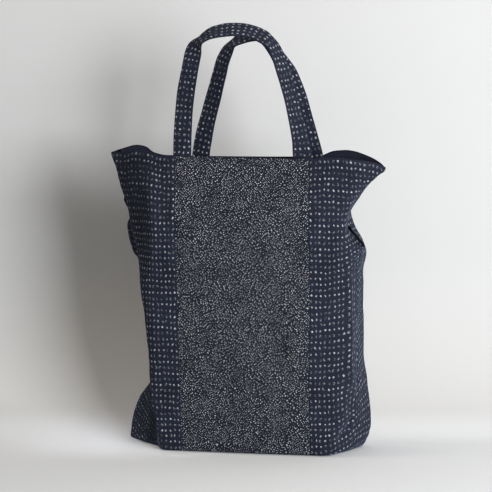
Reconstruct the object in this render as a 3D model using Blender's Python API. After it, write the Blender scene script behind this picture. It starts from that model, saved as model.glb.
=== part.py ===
"""A soft cloth tote handbag that stands on its own base, with two loop handles.

The bag is one tube of cloth, drawn as level sections. Six creases run down it:
a fold and a side seam at each end, front and back. Each crease has a short table
of its place at chosen heights, so the flared corners of the mouth, the notch
under them, the tucked gussets and the ear at the back of the base all come from
where the creases run. The cloth between two creases is taut or slightly bowed.

The units are metres, +Z is up, and the front faces -Y.
"""
import math

import bmesh
import bpy
import numpy as np
from mathutils import Vector


def table(columns, *rows):
    """A table's columns by name, from its rows."""
    return {name: np.array(values, float) for name, values in zip(columns.split(), zip(*rows))}


# Driving sizes of the body
BODY_HEIGHT = 0.386
HALF_WIDTH = 0.184
BODY_DEPTH = 0.080
CENTRE_PANEL_WIDTH = 0.176
WALL = 0.0016
BASE_THICKNESS = 0.0018
FOOT_ROLL = 0.006
FOLD_EASE = 0.012
SEAM_EASE = 0.007
MOST_EASE_SHARE = 0.42

# Facing inside the mouth
FACING_HEIGHT = 0.040
FACING_THICKNESS = 0.0008
FACING_SET_DOWN = 0.0012
FACING_TIP_CLEARANCE = 0.012
FACING_TIP_EASE = 0.015

# Handles
HANDLE_WIDTH = 0.024
HANDLE_THICKNESS = 0.0024
HANDLE_RISE = 0.168
HANDLE_SEWN_LENGTH = 0.034
HANDLE_STEPS = 60
CURVE_STEPS = 16
STRAP_FLAT_SHARE = 0.9
STRAP_EDGE_SHARE = 0.5

# Side tab
TAB_LENGTH = 0.026
TAB_REACH = 0.009
TAB_THICKNESS = 0.001
TAB_TOP_SHARE = 0.772
TAB_STEPS = 5
TAB_SWING = math.radians(-38)

# Clearances
PIECE_GAP = 0.0003
FACING_GAP = 0.0006
SEAT_GAP = 0.0007

# Each crease, from the floor to the rim. height is a share of BODY_HEIGHT along
# the cloth, across a share of HALF_WIDTH and depth a share of BODY_DEPTH.
FRONT_RIGHT_FOLD = table(
    "height across depth",
    (0.00, 0.625, -0.46),
    (0.08, 0.670, -0.49),
    (0.15, 0.710, -0.50),
    (0.23, 0.735, -0.50),
    (0.33, 0.755, -0.49),
    (0.53, 0.750, -0.46),
    (0.63, 0.747, -0.45),
    (0.71, 0.738, -0.44),
    (0.76, 0.722, -0.42),
    (0.80, 0.727, -0.39),
    (0.86, 0.750, -0.33),
    (1.00, 0.820, -0.20),
)
RIGHT_SEAM = table(
    "height across depth",
    (0.00, 0.755, 0.02),
    (0.18, 0.810, 0.00),
    (0.35, 0.803, 0.00),
    (0.59, 0.800, 0.00),
    (0.66, 0.815, 0.00),
    (0.705, 0.832, 0.00),
    (0.74, 0.785, 0.00),
    (0.773, 0.730, 0.00),
    (0.82, 0.750, 0.00),
    (0.868, 0.810, 0.00),
    (0.915, 0.873, 0.00),
    (0.95, 0.934, 0.00),
    (1.00, 1.003, 0.00),
)
BACK_RIGHT_FOLD = table(
    "height across depth",
    (0.00, 0.826, 0.54),
    (0.05, 0.862, 0.57),
    (0.08, 0.878, 0.56),
    (0.15, 0.866, 0.53),
    (0.25, 0.845, 0.50),
    (0.34, 0.820, 0.46),
    (0.51, 0.820, 0.42),
    (0.62, 0.824, 0.39),
    (0.675, 0.843, 0.38),
    (0.725, 0.810, 0.36),
    (0.76, 0.768, 0.35),
    (0.81, 0.725, 0.34),
    (0.86, 0.735, 0.32),
    (1.00, 0.800, 0.24),
)
BACK_LEFT_FOLD = table(
    "height across depth",
    (0.00, -0.910, 0.51),
    (0.05, -0.903, 0.52),
    (0.09, -0.887, 0.51),
    (0.15, -0.835, 0.49),
    (0.21, -0.750, 0.46),
    (0.26, -0.717, 0.45),
    (0.39, -0.747, 0.44),
    (0.54, -0.790, 0.42),
    (0.625, -0.812, 0.40),
    (0.67, -0.876, 0.38),
    (0.755, -0.910, 0.36),
    (0.80, -0.870, 0.35),
    (0.86, -0.835, 0.32),
    (1.00, -0.800, 0.24),
)
LEFT_SEAM = table(
    "height across depth",
    (0.00, -0.750, 0.04),
    (0.08, -0.735, 0.02),
    (0.16, -0.690, 0.00),
    (0.25, -0.590, 0.00),
    (0.39, -0.575, 0.00),
    (0.53, -0.610, 0.00),
    (0.66, -0.690, 0.00),
    (0.77, -0.760, 0.00),
    (0.82, -0.840, 0.00),
    (0.86, -0.888, 0.00),
    (0.90, -0.922, 0.00),
    (0.95, -0.953, 0.00),
    (1.00, -0.990, 0.00),
)
FRONT_LEFT_FOLD = table(
    "height across depth",
    (0.00, -0.585, -0.45),
    (0.08, -0.610, -0.48),
    (0.16, -0.643, -0.48),
    (0.24, -0.660, -0.48),
    (0.32, -0.672, -0.47),
    (0.46, -0.713, -0.45),
    (0.54, -0.740, -0.43),
    (0.66, -0.770, -0.40),
    (0.735, -0.812, -0.38),
    (0.79, -0.837, -0.37),
    (0.86, -0.830, -0.32),
    (1.00, -0.825, -0.20),
)

# The middle of the centre panels as a share of HALF_WIDTH, and how much of their
# cloth's width shows, which is less where the front is bowed.
CENTRE_PANEL = table(
    "height middle width",
    (0.00, 0.036, 0.972),
    (0.22, 0.029, 0.972),
    (0.52, 0.018, 0.995),
    (0.86, -0.003, 1.005),
    (1.00, -0.014, 1.005),
)

# How far the front and the back bow out between their folds, as shares of
# BODY_DEPTH.
BELLY = table(
    "height front back",
    (0.00, 0.02, 0.02),
    (0.10, 0.05, 0.05),
    (0.50, 0.07, 0.07),
    (0.80, 0.05, 0.05),
    (1.00, 0.00, 0.00),
)

# How far the rim rises above BODY_HEIGHT along the mouth, as a share of it. The
# corners of the mouth stand up in ears, and the right tip droops.
FRONT_RIM = table(
    "across lift",
    (-1.00, 0.014),
    (-0.88, 0.014),
    (-0.80, 0.021),
    (-0.72, 0.019),
    (-0.67, 0.013),
    (-0.58, 0.004),
    (-0.30, 0.000),
    (0.30, -0.002),
    (0.45, -0.003),
    (0.60, 0.003),
    (0.68, 0.003),
    (0.76, -0.002),
    (0.85, -0.007),
    (0.93, -0.014),
    (1.00, -0.033),
)
BACK_RIM = table(
    "across lift",
    (-1.00, 0.014),
    (-0.93, 0.024),
    (-0.82, 0.037),
    (-0.76, 0.032),
    (-0.70, 0.012),
    (-0.60, 0.002),
    (0.00, 0.000),
    (0.50, 0.003),
    (0.62, 0.022),
    (0.70, 0.025),
    (0.76, 0.022),
    (0.84, 0.010),
    (0.92, -0.005),
    (1.00, -0.033),
)
RIM_LIFT_STARTS = 0.72

# Each handle from its left end to its right end, above the rim. across is a
# share of HALF_WIDTH, height a share of HANDLE_RISE, depth a share of
# HANDLE_WIDTH, and tilt the degrees by which the outer edge leans back.
FRONT_HANDLE = table(
    "across height depth tilt",
    (-0.451, 0.000, -0.45, 0),
    (-0.446, 0.230, -0.46, 0),
    (-0.426, 0.485, -0.46, 4),
    (-0.392, 0.700, -0.45, 10),
    (-0.373, 0.800, -0.44, 18),
    (-0.357, 0.860, -0.43, 34),
    (-0.321, 0.910, -0.42, 56),
    (-0.274, 0.948, -0.42, 54),
    (-0.235, 0.970, -0.42, 48),
    (-0.152, 0.989, -0.42, 44),
    (-0.073, 0.996, -0.42, 45),
    (0.017, 0.987, -0.42, 45),
    (0.100, 0.957, -0.42, 46),
    (0.161, 0.915, -0.42, 54),
    (0.207, 0.865, -0.43, 60),
    (0.236, 0.800, -0.43, 56),
    (0.269, 0.700, -0.45, 54),
    (0.326, 0.495, -0.46, 52),
    (0.370, 0.300, -0.47, 48),
    (0.404, 0.130, -0.46, 36),
    (0.417, 0.000, -0.45, 0),
)
BACK_HANDLE = table(
    "across height depth tilt",
    (-0.347, 0.000, 0.45, 0),
    (-0.309, 0.210, 0.46, 12),
    (-0.255, 0.440, 0.47, 24),
    (-0.207, 0.635, 0.46, 30),
    (-0.178, 0.752, 0.45, 38),
    (-0.141, 0.837, 0.44, 48),
    (-0.105, 0.888, 0.44, 56),
    (-0.047, 0.926, 0.44, 50),
    (0.033, 0.951, 0.44, 46),
    (0.105, 0.946, 0.44, 50),
    (0.158, 0.890, 0.44, 57),
    (0.208, 0.810, 0.44, 54),
    (0.258, 0.725, 0.44, 40),
    (0.298, 0.650, 0.44, 24),
    (0.352, 0.500, 0.45, 10),
    (0.401, 0.330, 0.46, 5),
    (0.447, 0.155, 0.46, 0),
    (0.478, 0.000, 0.45, 0),
)

# Rows of the wall above the foot roll, as shares of the cloth's height, and how
# many steps each stretch of a section has.
WALL_ROWS = (0.04, 0.07, 0.10, 0.13, 0.165, 0.20, 0.24, 0.29, 0.36, 0.44, 0.52, 0.59, 0.635,
             0.67, 0.70, 0.73, 0.755, 0.78, 0.805, 0.83, 0.86, 0.89, 0.925, 0.96, 1.00)
FOOT_STEPS = 3
HALF_PANEL_STEPS = 4
SIDE_STEPS = 3
FOLD_STEPS = 3
GUSSET_STEPS = 2
SEAM_STEPS = 4

# Colour, roughness and metallic value of each cloth
MATERIALS = {
    "speckle_cloth": ((0.075, 0.082, 0.115, 1.0), 0.92, 0.0),
    "dotted_cloth": ((0.022, 0.026, 0.052, 1.0), 0.90, 0.0),
    "facing_cloth": ((0.012, 0.014, 0.028, 1.0), 0.90, 0.0),
    "tab_cloth": ((0.012, 0.012, 0.014, 1.0), 0.85, 0.0),
}


def smooth(x, y, at):
    """The value at one place of a curve through the points, with no overshoot."""
    step, rise = np.diff(x), np.diff(y)
    slope = rise / step
    tangent = np.zeros(len(x))
    same = slope[:-1] * slope[1:] > 0
    before, after = (step[:-1] + 2 * step[1:])[same], (2 * step[:-1] + step[1:])[same]
    tangent[1:-1][same] = (before + after) / (before / slope[:-1][same] + after / slope[1:][same])
    at = np.clip(at, x[0], x[-1])
    k = np.clip(np.searchsorted(x, at, side="right") - 1, 0, len(x) - 2)
    t = (at - x[k]) / step[k]
    return ((2 * t**3 - 3 * t**2 + 1) * y[k] + (t**3 - 2 * t**2 + t) * step[k] * tangent[k]
            + (3 * t**2 - 2 * t**3) * y[k + 1] + (t**3 - t**2) * step[k] * tangent[k + 1])


def read(rows, column, share):
    """One column of a table at a share of the cloth's height."""
    return smooth(rows["height"], rows[column], share)


def crease_place(crease, share):
    """A crease's place in the level section at a share of the height."""
    return np.array([HALF_WIDTH * read(crease, "across", share),
                     BODY_DEPTH * read(crease, "depth", share)])


def eased(corner, other, ease):
    """Where a soft corner leaves its side, short of the side's middle."""
    away = other - corner
    length = np.linalg.norm(away)
    return corner + away * min(ease, MOST_EASE_SHARE * length) / length


def rounded(places, eases, steps):
    """Soft corners, each a curve whose middle passes through its crease's place."""
    count = len(places)
    pushed = []
    for k, place in enumerate(places):
        before = eased(place, places[k - 1], eases[k])
        after = eased(place, places[(k + 1) % count], eases[k])
        pushed.append(place + (place - (before + 2 * place + after) / 4))
    curves = []
    for k, corner in enumerate(pushed):
        first = eased(corner, pushed[k - 1], eases[k])
        last = eased(corner, pushed[(k + 1) % count], eases[k])
        t = np.linspace(0, 1, steps[k] + 1)[:, None]
        curves.append((1 - t)**2 * first + 2 * t * (1 - t) * corner + t**2 * last)
    return curves


def straight(first, last, steps):
    """Even steps from one point towards another, without the last."""
    t = np.linspace(0, 1, steps, endpoint=False)[:, None]
    return first + (last - first) * t


def section(share, tip_clearance=0.0, seam_ease=SEAM_EASE):
    """The outside of the bag in a level cut, from the front's middle round by the right."""
    front_right = crease_place(FRONT_RIGHT_FOLD, share)
    right = crease_place(RIGHT_SEAM, share) - (tip_clearance, 0)
    back_right = crease_place(BACK_RIGHT_FOLD, share)
    back_left = crease_place(BACK_LEFT_FOLD, share)
    left = crease_place(LEFT_SEAM, share) + (tip_clearance, 0)
    front_left = crease_place(FRONT_LEFT_FOLD, share)
    folds = rounded(
        (front_right, right, back_right, back_left, left, front_left),
        (FOLD_EASE, seam_ease, FOLD_EASE, FOLD_EASE, seam_ease, FOLD_EASE),
        (FOLD_STEPS, SEAM_STEPS, FOLD_STEPS, FOLD_STEPS, SEAM_STEPS, FOLD_STEPS))
    names = ("front_right", "right", "back_right", "back_left", "left", "front_left")
    corners = dict(zip(names, folds))
    middle = HALF_WIDTH * read(CENTRE_PANEL, "middle", share)
    half = CENTRE_PANEL_WIDTH / 2 * read(CENTRE_PANEL, "width", share)

    def on_line(a, b, across):
        t = (across - a[0]) / (b[0] - a[0])
        return a + (b - a) * t
    front_ends = (corners["front_left"][-1], corners["front_right"][0])
    back_ends = (corners["back_right"][-1], corners["back_left"][0])
    front = [on_line(*front_ends, middle + x) for x in (-half, 0.0, half)]
    back = [on_line(*back_ends, middle + x) for x in (half, 0.0, -half)]
    loop = [
        straight(front[1], front[2], HALF_PANEL_STEPS),
        straight(front[2], corners["front_right"][0], SIDE_STEPS),
        corners["front_right"][:-1],
        straight(corners["front_right"][-1], corners["right"][0], GUSSET_STEPS),
        corners["right"][:-1],
        straight(corners["right"][-1], corners["back_right"][0], GUSSET_STEPS),
        corners["back_right"][:-1],
        straight(corners["back_right"][-1], back[0], SIDE_STEPS),
        straight(back[0], back[1], HALF_PANEL_STEPS),
        straight(back[1], back[2], HALF_PANEL_STEPS),
        straight(back[2], corners["back_left"][0], SIDE_STEPS),
        corners["back_left"][:-1],
        straight(corners["back_left"][-1], corners["left"][0], GUSSET_STEPS),
        corners["left"][:-1],
        straight(corners["left"][-1], corners["front_left"][0], GUSSET_STEPS),
        corners["front_left"][:-1],
        straight(corners["front_left"][-1], front[0], SIDE_STEPS),
        straight(front[0], front[1], HALF_PANEL_STEPS),
    ]
    points = np.concatenate(loop)
    ahead = belly(points[:, 0], front_left[0], front_right[0]) * read(BELLY, "front", share)
    behind = belly(points[:, 0], back_left[0], back_right[0]) * read(BELLY, "back", share)
    at_front, at_back = face_columns()
    points[at_front, 1] -= BODY_DEPTH * ahead[at_front]
    points[at_back, 1] += BODY_DEPTH * behind[at_back]
    return points


def belly(across, left, right):
    """How far along its bow each point between two folds is, from 0 to 1."""
    t = np.clip((across - left) / (right - left), 0, 1)
    return 4 * t * (1 - t)


QUARTER = HALF_PANEL_STEPS + SIDE_STEPS + FOLD_STEPS + GUSSET_STEPS + SEAM_STEPS // 2
COLUMNS = 4 * QUARTER
SEAM_COLUMNS = {
    "front_right_seam": HALF_PANEL_STEPS,
    "right_seam": QUARTER,
    "back_right_seam": 2 * QUARTER - HALF_PANEL_STEPS,
    "back_left_seam": 2 * QUARTER + HALF_PANEL_STEPS,
    "left_seam": 3 * QUARTER,
    "front_left_seam": 4 * QUARTER - HALF_PANEL_STEPS,
}


def face_columns():
    """The columns of the front and of the back, from fold to fold."""
    reach = HALF_PANEL_STEPS + SIDE_STEPS + FOLD_STEPS // 2
    front = [k % COLUMNS for k in range(-reach, reach + 1)]
    back = [2 * QUARTER + k for k in range(-reach, reach + 1)]
    return front, back


def rim_lift(points, share):
    """How much higher than its share of the cloth's height each point lies."""
    across = points[:, 0] / HALF_WIDTH
    front = smooth(FRONT_RIM["across"], FRONT_RIM["lift"], across)
    back = smooth(BACK_RIM["across"], BACK_RIM["lift"], across)
    lift = np.where(points[:, 1] < 0, front, back)
    t = np.clip((share - RIM_LIFT_STARTS) / (1 - RIM_LIFT_STARTS), 0, 1)
    return BODY_HEIGHT * lift * t * t * (3 - 2 * t)


def outward(points):
    """The level direction out of the bag at each point of a section."""
    along = np.roll(points, -1, axis=0) - np.roll(points, 1, axis=0)
    out = np.stack([along[:, 1], -along[:, 0]], axis=1)
    return out / np.linalg.norm(out, axis=1, keepdims=True)


def level(share, **shape):
    """One row of the cloth, as points in space."""
    points = section(share, **shape)
    height = share * BODY_HEIGHT + rim_lift(points, share)
    return np.column_stack([points, height])


def foot_rows():
    """The rows where the cloth rolls under the bag, from the floor up."""
    rows = []
    for k in range(FOOT_STEPS):
        angle = math.radians(90) * (1 - k / FOOT_STEPS)
        height = FOOT_ROLL * (1 - math.sin(angle))
        points = section(height / BODY_HEIGHT)
        points = points - outward(points) * FOOT_ROLL * (1 - math.cos(angle))
        rows.append(np.column_stack([points, np.full(len(points), height)]))
    return rows


def normals(grid):
    """The direction out of the cloth at each point of its grid."""
    around = np.roll(grid, -1, axis=1) - np.roll(grid, 1, axis=1)
    up = np.gradient(grid, axis=0)
    out = np.cross(around, up)
    return out / np.linalg.norm(out, axis=2, keepdims=True)


def flattened(out, row):
    """Makes one row's directions level, so that the cloth ends in a flat edge."""
    out[row, :, 2] = 0
    out[row] /= np.linalg.norm(out[row], axis=1, keepdims=True)


def wall_grids():
    """The outer and the inner face of the whole wall."""
    outer = np.array(foot_rows() + [level(share) for share in WALL_ROWS])
    out = normals(outer)
    out[0] = (0, 0, -1)
    flattened(out, -1)
    return outer, outer - WALL * out


def new_object(name, vertices, faces, material):
    """A closed solid from its points and its faces, which turn outwards already."""
    mesh = bpy.data.meshes.new(name)
    mesh.from_pydata([tuple(v) for v in vertices], [], faces)
    shape = bmesh.new()
    shape.from_mesh(mesh)
    bmesh.ops.triangulate(shape, faces=shape.faces)
    shape.to_mesh(mesh)
    shape.free()
    mesh.materials.append(material)
    mesh.shade_smooth()
    mesh.set_sharp_from_angle(angle=math.radians(40))
    made = bpy.data.objects.new(name, mesh)
    bpy.context.scene.collection.objects.link(made)
    return made


def slab(outer, inner, closed=False):
    """Points and faces of a sheet between two grids of the same size."""
    rows, columns = outer.shape[:2]
    vertices = np.concatenate([outer.reshape(-1, 3), inner.reshape(-1, 3)])
    other = rows * columns
    faces = []
    last = columns if closed else columns - 1
    for r in range(rows - 1):
        for c in range(last):
            a = r * columns + c
            b = r * columns + (c + 1) % columns
            faces.append((a, b, b + columns, a + columns))
            faces.append((other + a, other + a + columns, other + b + columns, other + b))
    for c in range(last):
        low, low_next = c, (c + 1) % columns
        high, high_next = low + (rows - 1) * columns, low_next + (rows - 1) * columns
        faces.append((low, other + low, other + low_next, low_next))
        faces.append((high, high_next, other + high_next, other + high))
    if not closed:
        for r in range(rows - 1):
            first, end = r * columns, (r + 1) * columns - 1
            faces.append((first, first + columns, other + first + columns, other + first))
            faces.append((end, other + end, other + end + columns, end + columns))
    return vertices, faces


def cut_back(grid, distance):
    """Moves a grid's two side edges in along the cloth."""
    grid = grid.copy()
    for edge, near in ((0, 1), (-1, -2)):
        along = grid[:, near] - grid[:, edge]
        along /= np.linalg.norm(along, axis=1, keepdims=True)
        grid[:, edge] += along * distance
    return grid


def wall_panel(name, grids, first, last, material):
    """One panel of the wall, between two of its seams."""
    columns = [k % COLUMNS for k in range(first, last + 1)]
    outer, inner = (cut_back(grid[:, columns], PIECE_GAP / 2) for grid in grids)
    return new_object(name, *slab(outer, inner), material)


def make_walls(materials):
    """The six panels round the side, each from seam to seam."""
    grids = wall_grids()
    seams = SEAM_COLUMNS
    panels = (
        ("front_centre_panel", seams["front_left_seam"] - COLUMNS, seams["front_right_seam"],
         "speckle_cloth"),
        ("front_right_panel", seams["front_right_seam"], seams["right_seam"], "dotted_cloth"),
        ("back_right_panel", seams["right_seam"], seams["back_right_seam"], "dotted_cloth"),
        ("back_centre_panel", seams["back_right_seam"], seams["back_left_seam"],
         "speckle_cloth"),
        ("back_left_panel", seams["back_left_seam"], seams["left_seam"], "dotted_cloth"),
        ("front_left_panel", seams["left_seam"], seams["front_left_seam"], "dotted_cloth"),
    )
    return [wall_panel(name, grids, first, last, materials[slot])
            for name, first, last, slot in panels]


def make_base(materials):
    """The flat bottom, just inside the cloth that rolls under."""
    edge = foot_rows()[0]
    edge[:, :2] -= outward(edge[:, :2]) * PIECE_GAP
    top = edge + (0, 0, BASE_THICKNESS)
    count = len(edge)
    vertices = np.concatenate([edge, top])
    faces = [tuple(range(count - 1, -1, -1)), tuple(range(count, 2 * count))]
    faces += [(k, (k + 1) % count, count + (k + 1) % count, count + k) for k in range(count)]
    return new_object("base_panel", vertices, faces, materials["dotted_cloth"])


def make_facing(materials):
    """The plain band inside the rim, which passes each tip of the mouth in a soft turn."""
    top = 1 - FACING_SET_DOWN / BODY_HEIGHT
    low = top - FACING_HEIGHT / BODY_HEIGHT
    rows = [low] + [share for share in WALL_ROWS if low < share < top] + [top]
    around = np.array([level(share, tip_clearance=FACING_TIP_CLEARANCE,
                             seam_ease=FACING_TIP_EASE) for share in rows])
    out = normals(around)
    outer = around - out * (WALL + FACING_GAP)
    inner = outer - out * FACING_THICKNESS
    return new_object("mouth_facing", *slab(outer, inner, closed=True), materials["facing_cloth"])


def face_depth(across, share, side):
    """Depth of the outside of the front (-1) or the back (1) at a place across it."""
    points = section(share)[face_columns()[(side + 1) // 2]]
    order = np.argsort(points[:, 0])
    return np.interp(across, points[order, 0], points[order, 1])


def seat_depth(across, share, side):
    """Depth of a handle's middle where it lies on the facing at the front or the back."""
    sewn_share = HANDLE_SEWN_LENGTH / BODY_HEIGHT
    lean = (face_depth(across, 1, side) - face_depth(across, 1 - sewn_share, side))
    slant = math.hypot(1, lean / HANDLE_SEWN_LENGTH)
    layers = WALL + FACING_GAP + FACING_THICKNESS + SEAT_GAP + HANDLE_THICKNESS / 2
    return face_depth(across, share, side) - side * layers * slant


def handle_path(rows, side):
    """Points and tilt along a handle, from one sewn end over the top to the other."""
    points = list(zip(HALF_WIDTH * rows["across"], HANDLE_WIDTH * rows["depth"],
                      BODY_HEIGHT + HANDLE_RISE * rows["height"]))
    tilts = list(rows["tilt"])
    for end in (0, -1):
        across, _, _ = points[end]
        points[end] = (across, seat_depth(across, 1.0, side), BODY_HEIGHT)
        sewn = []
        for part in (1.0, 0.5):
            share = 1 - part * HANDLE_SEWN_LENGTH / BODY_HEIGHT
            sewn.append((across, seat_depth(across, share, side), share * BODY_HEIGHT))
        if end == 0:
            points, tilts = sewn + points, [0, 0] + tilts
        else:
            points, tilts = points + sewn[::-1], tilts + [0, 0]
    return np.array(points), np.array(tilts, float)


def through(points, count):
    """Even steps along a smooth curve through the points, and where each step lies."""
    knots = np.concatenate([[0], np.cumsum(np.linalg.norm(np.diff(points, axis=0), axis=1)**0.5)])
    padded = np.vstack([2 * points[0] - points[1], points, 2 * points[-1] - points[-2]])
    knot = np.concatenate([[knots[0] - knots[1]], knots, [2 * knots[-1] - knots[-2]]])
    fine, places = [], []
    for k in range(1, len(points)):
        p0, p1, p2, p3 = padded[k - 1:k + 3]
        t0, t1, t2, t3 = knot[k - 1:k + 3]
        for t in np.linspace(t1, t2, CURVE_STEPS, endpoint=False):
            a1 = (t1 - t) / (t1 - t0) * p0 + (t - t0) / (t1 - t0) * p1
            a2 = (t2 - t) / (t2 - t1) * p1 + (t - t1) / (t2 - t1) * p2
            a3 = (t3 - t) / (t3 - t2) * p2 + (t - t2) / (t3 - t2) * p3
            b1 = (t2 - t) / (t2 - t0) * a1 + (t - t0) / (t2 - t0) * a2
            b2 = (t3 - t) / (t3 - t1) * a2 + (t - t1) / (t3 - t1) * a3
            fine.append((t2 - t) / (t2 - t1) * b1 + (t - t1) / (t2 - t1) * b2)
            places.append(k - 1 + (t - t1) / (t2 - t1))
    fine, places = np.array(fine + [points[-1]]), np.array(places + [len(points) - 1])
    run = np.concatenate([[0], np.cumsum(np.linalg.norm(np.diff(fine, axis=0), axis=1))])
    even = np.linspace(0, run[-1], count + 1)
    return (np.column_stack([np.interp(even, run, fine[:, k]) for k in range(3)]),
            np.interp(even, run, places))


def strap_section():
    """A strap's cross-section, as shares of its half width and half thickness."""
    flat, edge = STRAP_FLAT_SHARE, STRAP_EDGE_SHARE
    return ((-1, -edge), (-flat, -1), (flat, -1), (1, -edge),
            (1, edge), (flat, 1), (-flat, 1), (-1, edge))


def make_handle(name, rows, side, materials):
    """A flat strap along its path, with its width turned by the tilt."""
    points, tilts = handle_path(rows, side)
    path, places = through(points, HANDLE_STEPS)
    tilt = np.radians(np.interp(places, range(len(tilts)), tilts))
    along = np.gradient(path, axis=0)
    along /= np.linalg.norm(along, axis=1, keepdims=True)
    depthwise = np.array([0.0, 1.0, 0.0])
    outside = np.cross(along, depthwise)
    outside /= np.linalg.norm(outside, axis=1, keepdims=True)
    width = np.cos(tilt)[:, None] * outside + np.sin(tilt)[:, None] * depthwise
    width -= along * np.sum(width * along, axis=1, keepdims=True)
    width /= np.linalg.norm(width, axis=1, keepdims=True)
    face = np.cross(along, width)
    ring = strap_section()
    lines = [path + width * u * HANDLE_WIDTH / 2 + face * v * HANDLE_THICKNESS / 2
             for u, v in ring]
    vertices = np.stack(lines, axis=1).reshape(-1, 3)
    size = len(ring)
    faces = [tuple(range(size - 1, -1, -1)), tuple(range(len(vertices) - size, len(vertices)))]
    for k in range(len(path) - 1):
        for j in range(size):
            a, b = k * size + j, k * size + (j + 1) % size
            faces.append((a, b, b + size, a + size))
    return new_object(name, vertices, faces, materials["dotted_cloth"])


def make_side_tab(materials):
    """The small tab caught in the right seam, just under the flared corner."""
    seam = np.array([level(share)[SEAM_COLUMNS["right_seam"]] for share in WALL_ROWS])
    shares = TAB_TOP_SHARE - np.linspace(0, TAB_LENGTH, TAB_STEPS + 1) / BODY_HEIGHT
    line = np.column_stack([np.interp(shares, WALL_ROWS, seam[:, k]) for k in range(3)])
    reach = np.array([math.cos(TAB_SWING), math.sin(TAB_SWING), 0.0])
    line += reach * (TAB_THICKNESS / 2 + 2 * PIECE_GAP)
    along = np.gradient(line, axis=0)
    flat = np.cross(along, reach)
    flat /= np.linalg.norm(flat, axis=1, keepdims=True)
    front = np.stack([line, line + reach * TAB_REACH], axis=1)
    half = flat[:, None] * TAB_THICKNESS / 2
    return new_object("side_tab", *slab(front - half, front + half), materials["tab_cloth"])


def make_materials():
    """One material for each cloth."""
    made = {}
    for name, (colour, roughness, metallic) in MATERIALS.items():
        material = bpy.data.materials.new(name)
        material.use_nodes = True
        shader = material.node_tree.nodes["Principled BSDF"]
        shader.inputs["Base Color"].default_value = colour
        shader.inputs["Roughness"].default_value = roughness
        shader.inputs["Metallic"].default_value = metallic
        made[name] = material
    return made


def stand_on_origin(pieces):
    """Puts the middle of the whole bag's box over the origin, on the floor."""
    corners = np.array([v.co for piece in pieces for v in piece.data.vertices])
    low, high = corners.min(axis=0), corners.max(axis=0)
    shift = Vector((-(low[0] + high[0]) / 2, -(low[1] + high[1]) / 2, -low[2]))
    for piece in pieces:
        for vertex in piece.data.vertices:
            vertex.co += shift


def main():
    """Makes every piece of the bag in an empty scene."""
    for item in list(bpy.data.objects):
        bpy.data.objects.remove(item)
    materials = make_materials()
    pieces = make_walls(materials)
    pieces.append(make_base(materials))
    pieces.append(make_facing(materials))
    pieces.append(make_handle("front_handle", FRONT_HANDLE, -1, materials))
    pieces.append(make_handle("back_handle", BACK_HANDLE, 1, materials))
    pieces.append(make_side_tab(materials))
    stand_on_origin(pieces)


main()
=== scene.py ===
"""The looks of a soft cloth tote handbag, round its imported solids.

The cloth shell repeats the part's own named sizes and crease tables, in metres, with +Z up
and the front facing -Y. Each cloth has a UV map in metres, u round the bag and v down from
the rim, so the rows of printed marks run with the cloth through its folds.
"""
import logging
import math
from dataclasses import dataclass
from enum import Enum

import bmesh
import bpy
import numpy as np
from mathutils import Matrix, Vector


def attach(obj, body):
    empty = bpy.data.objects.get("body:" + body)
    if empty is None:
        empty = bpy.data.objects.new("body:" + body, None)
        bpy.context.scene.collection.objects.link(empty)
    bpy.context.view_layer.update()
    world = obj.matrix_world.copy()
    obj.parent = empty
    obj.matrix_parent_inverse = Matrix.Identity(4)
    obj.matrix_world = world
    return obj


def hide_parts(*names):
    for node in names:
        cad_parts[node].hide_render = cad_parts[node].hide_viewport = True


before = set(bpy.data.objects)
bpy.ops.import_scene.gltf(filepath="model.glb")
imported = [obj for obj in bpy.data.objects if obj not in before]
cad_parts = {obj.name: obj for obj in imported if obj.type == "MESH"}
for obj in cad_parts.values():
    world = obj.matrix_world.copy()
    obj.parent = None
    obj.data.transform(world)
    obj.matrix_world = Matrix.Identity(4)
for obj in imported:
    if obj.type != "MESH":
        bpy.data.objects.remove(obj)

LOG = logging.getLogger("handbag")
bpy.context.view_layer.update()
UV_NAME = "cloth"
# The mark of the cloth's reverse side, which also carries painted shade on the face
REVERSE_AND_SHADE = "reverse"
UP_NAME = "up"
SAME_PLACE = 1e-7

# The first seed of each kind of unevenness
WAVE_SEED, WRINKLE_SEED, PUCKER_SEED, SWAY_SEED, DENT_SEED = 11, 31, 51, 91, 97

Columns = dict[str, np.ndarray]
Pair = tuple[float, float]
Colour = tuple[float, float, float]
Point = tuple[float, float, float]
Lines = list[tuple[np.ndarray, np.ndarray]]


def table(columns: str, *rows: tuple[float, ...]) -> Columns:
    """A table's columns by name.

    Args:
        columns: The names of the columns, in order.
        rows: The rows of numbers.

    Returns:
        Each column's numbers by its name.
    """
    return {name: np.array(values, float) for name, values in zip(columns.split(), zip(*rows))}


def read(rows: Columns, name: str, at: np.ndarray) -> np.ndarray:
    """A table's column at places in its first column, on a smooth curve."""
    return smooth(next(iter(rows.values())), rows[name], at)


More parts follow.
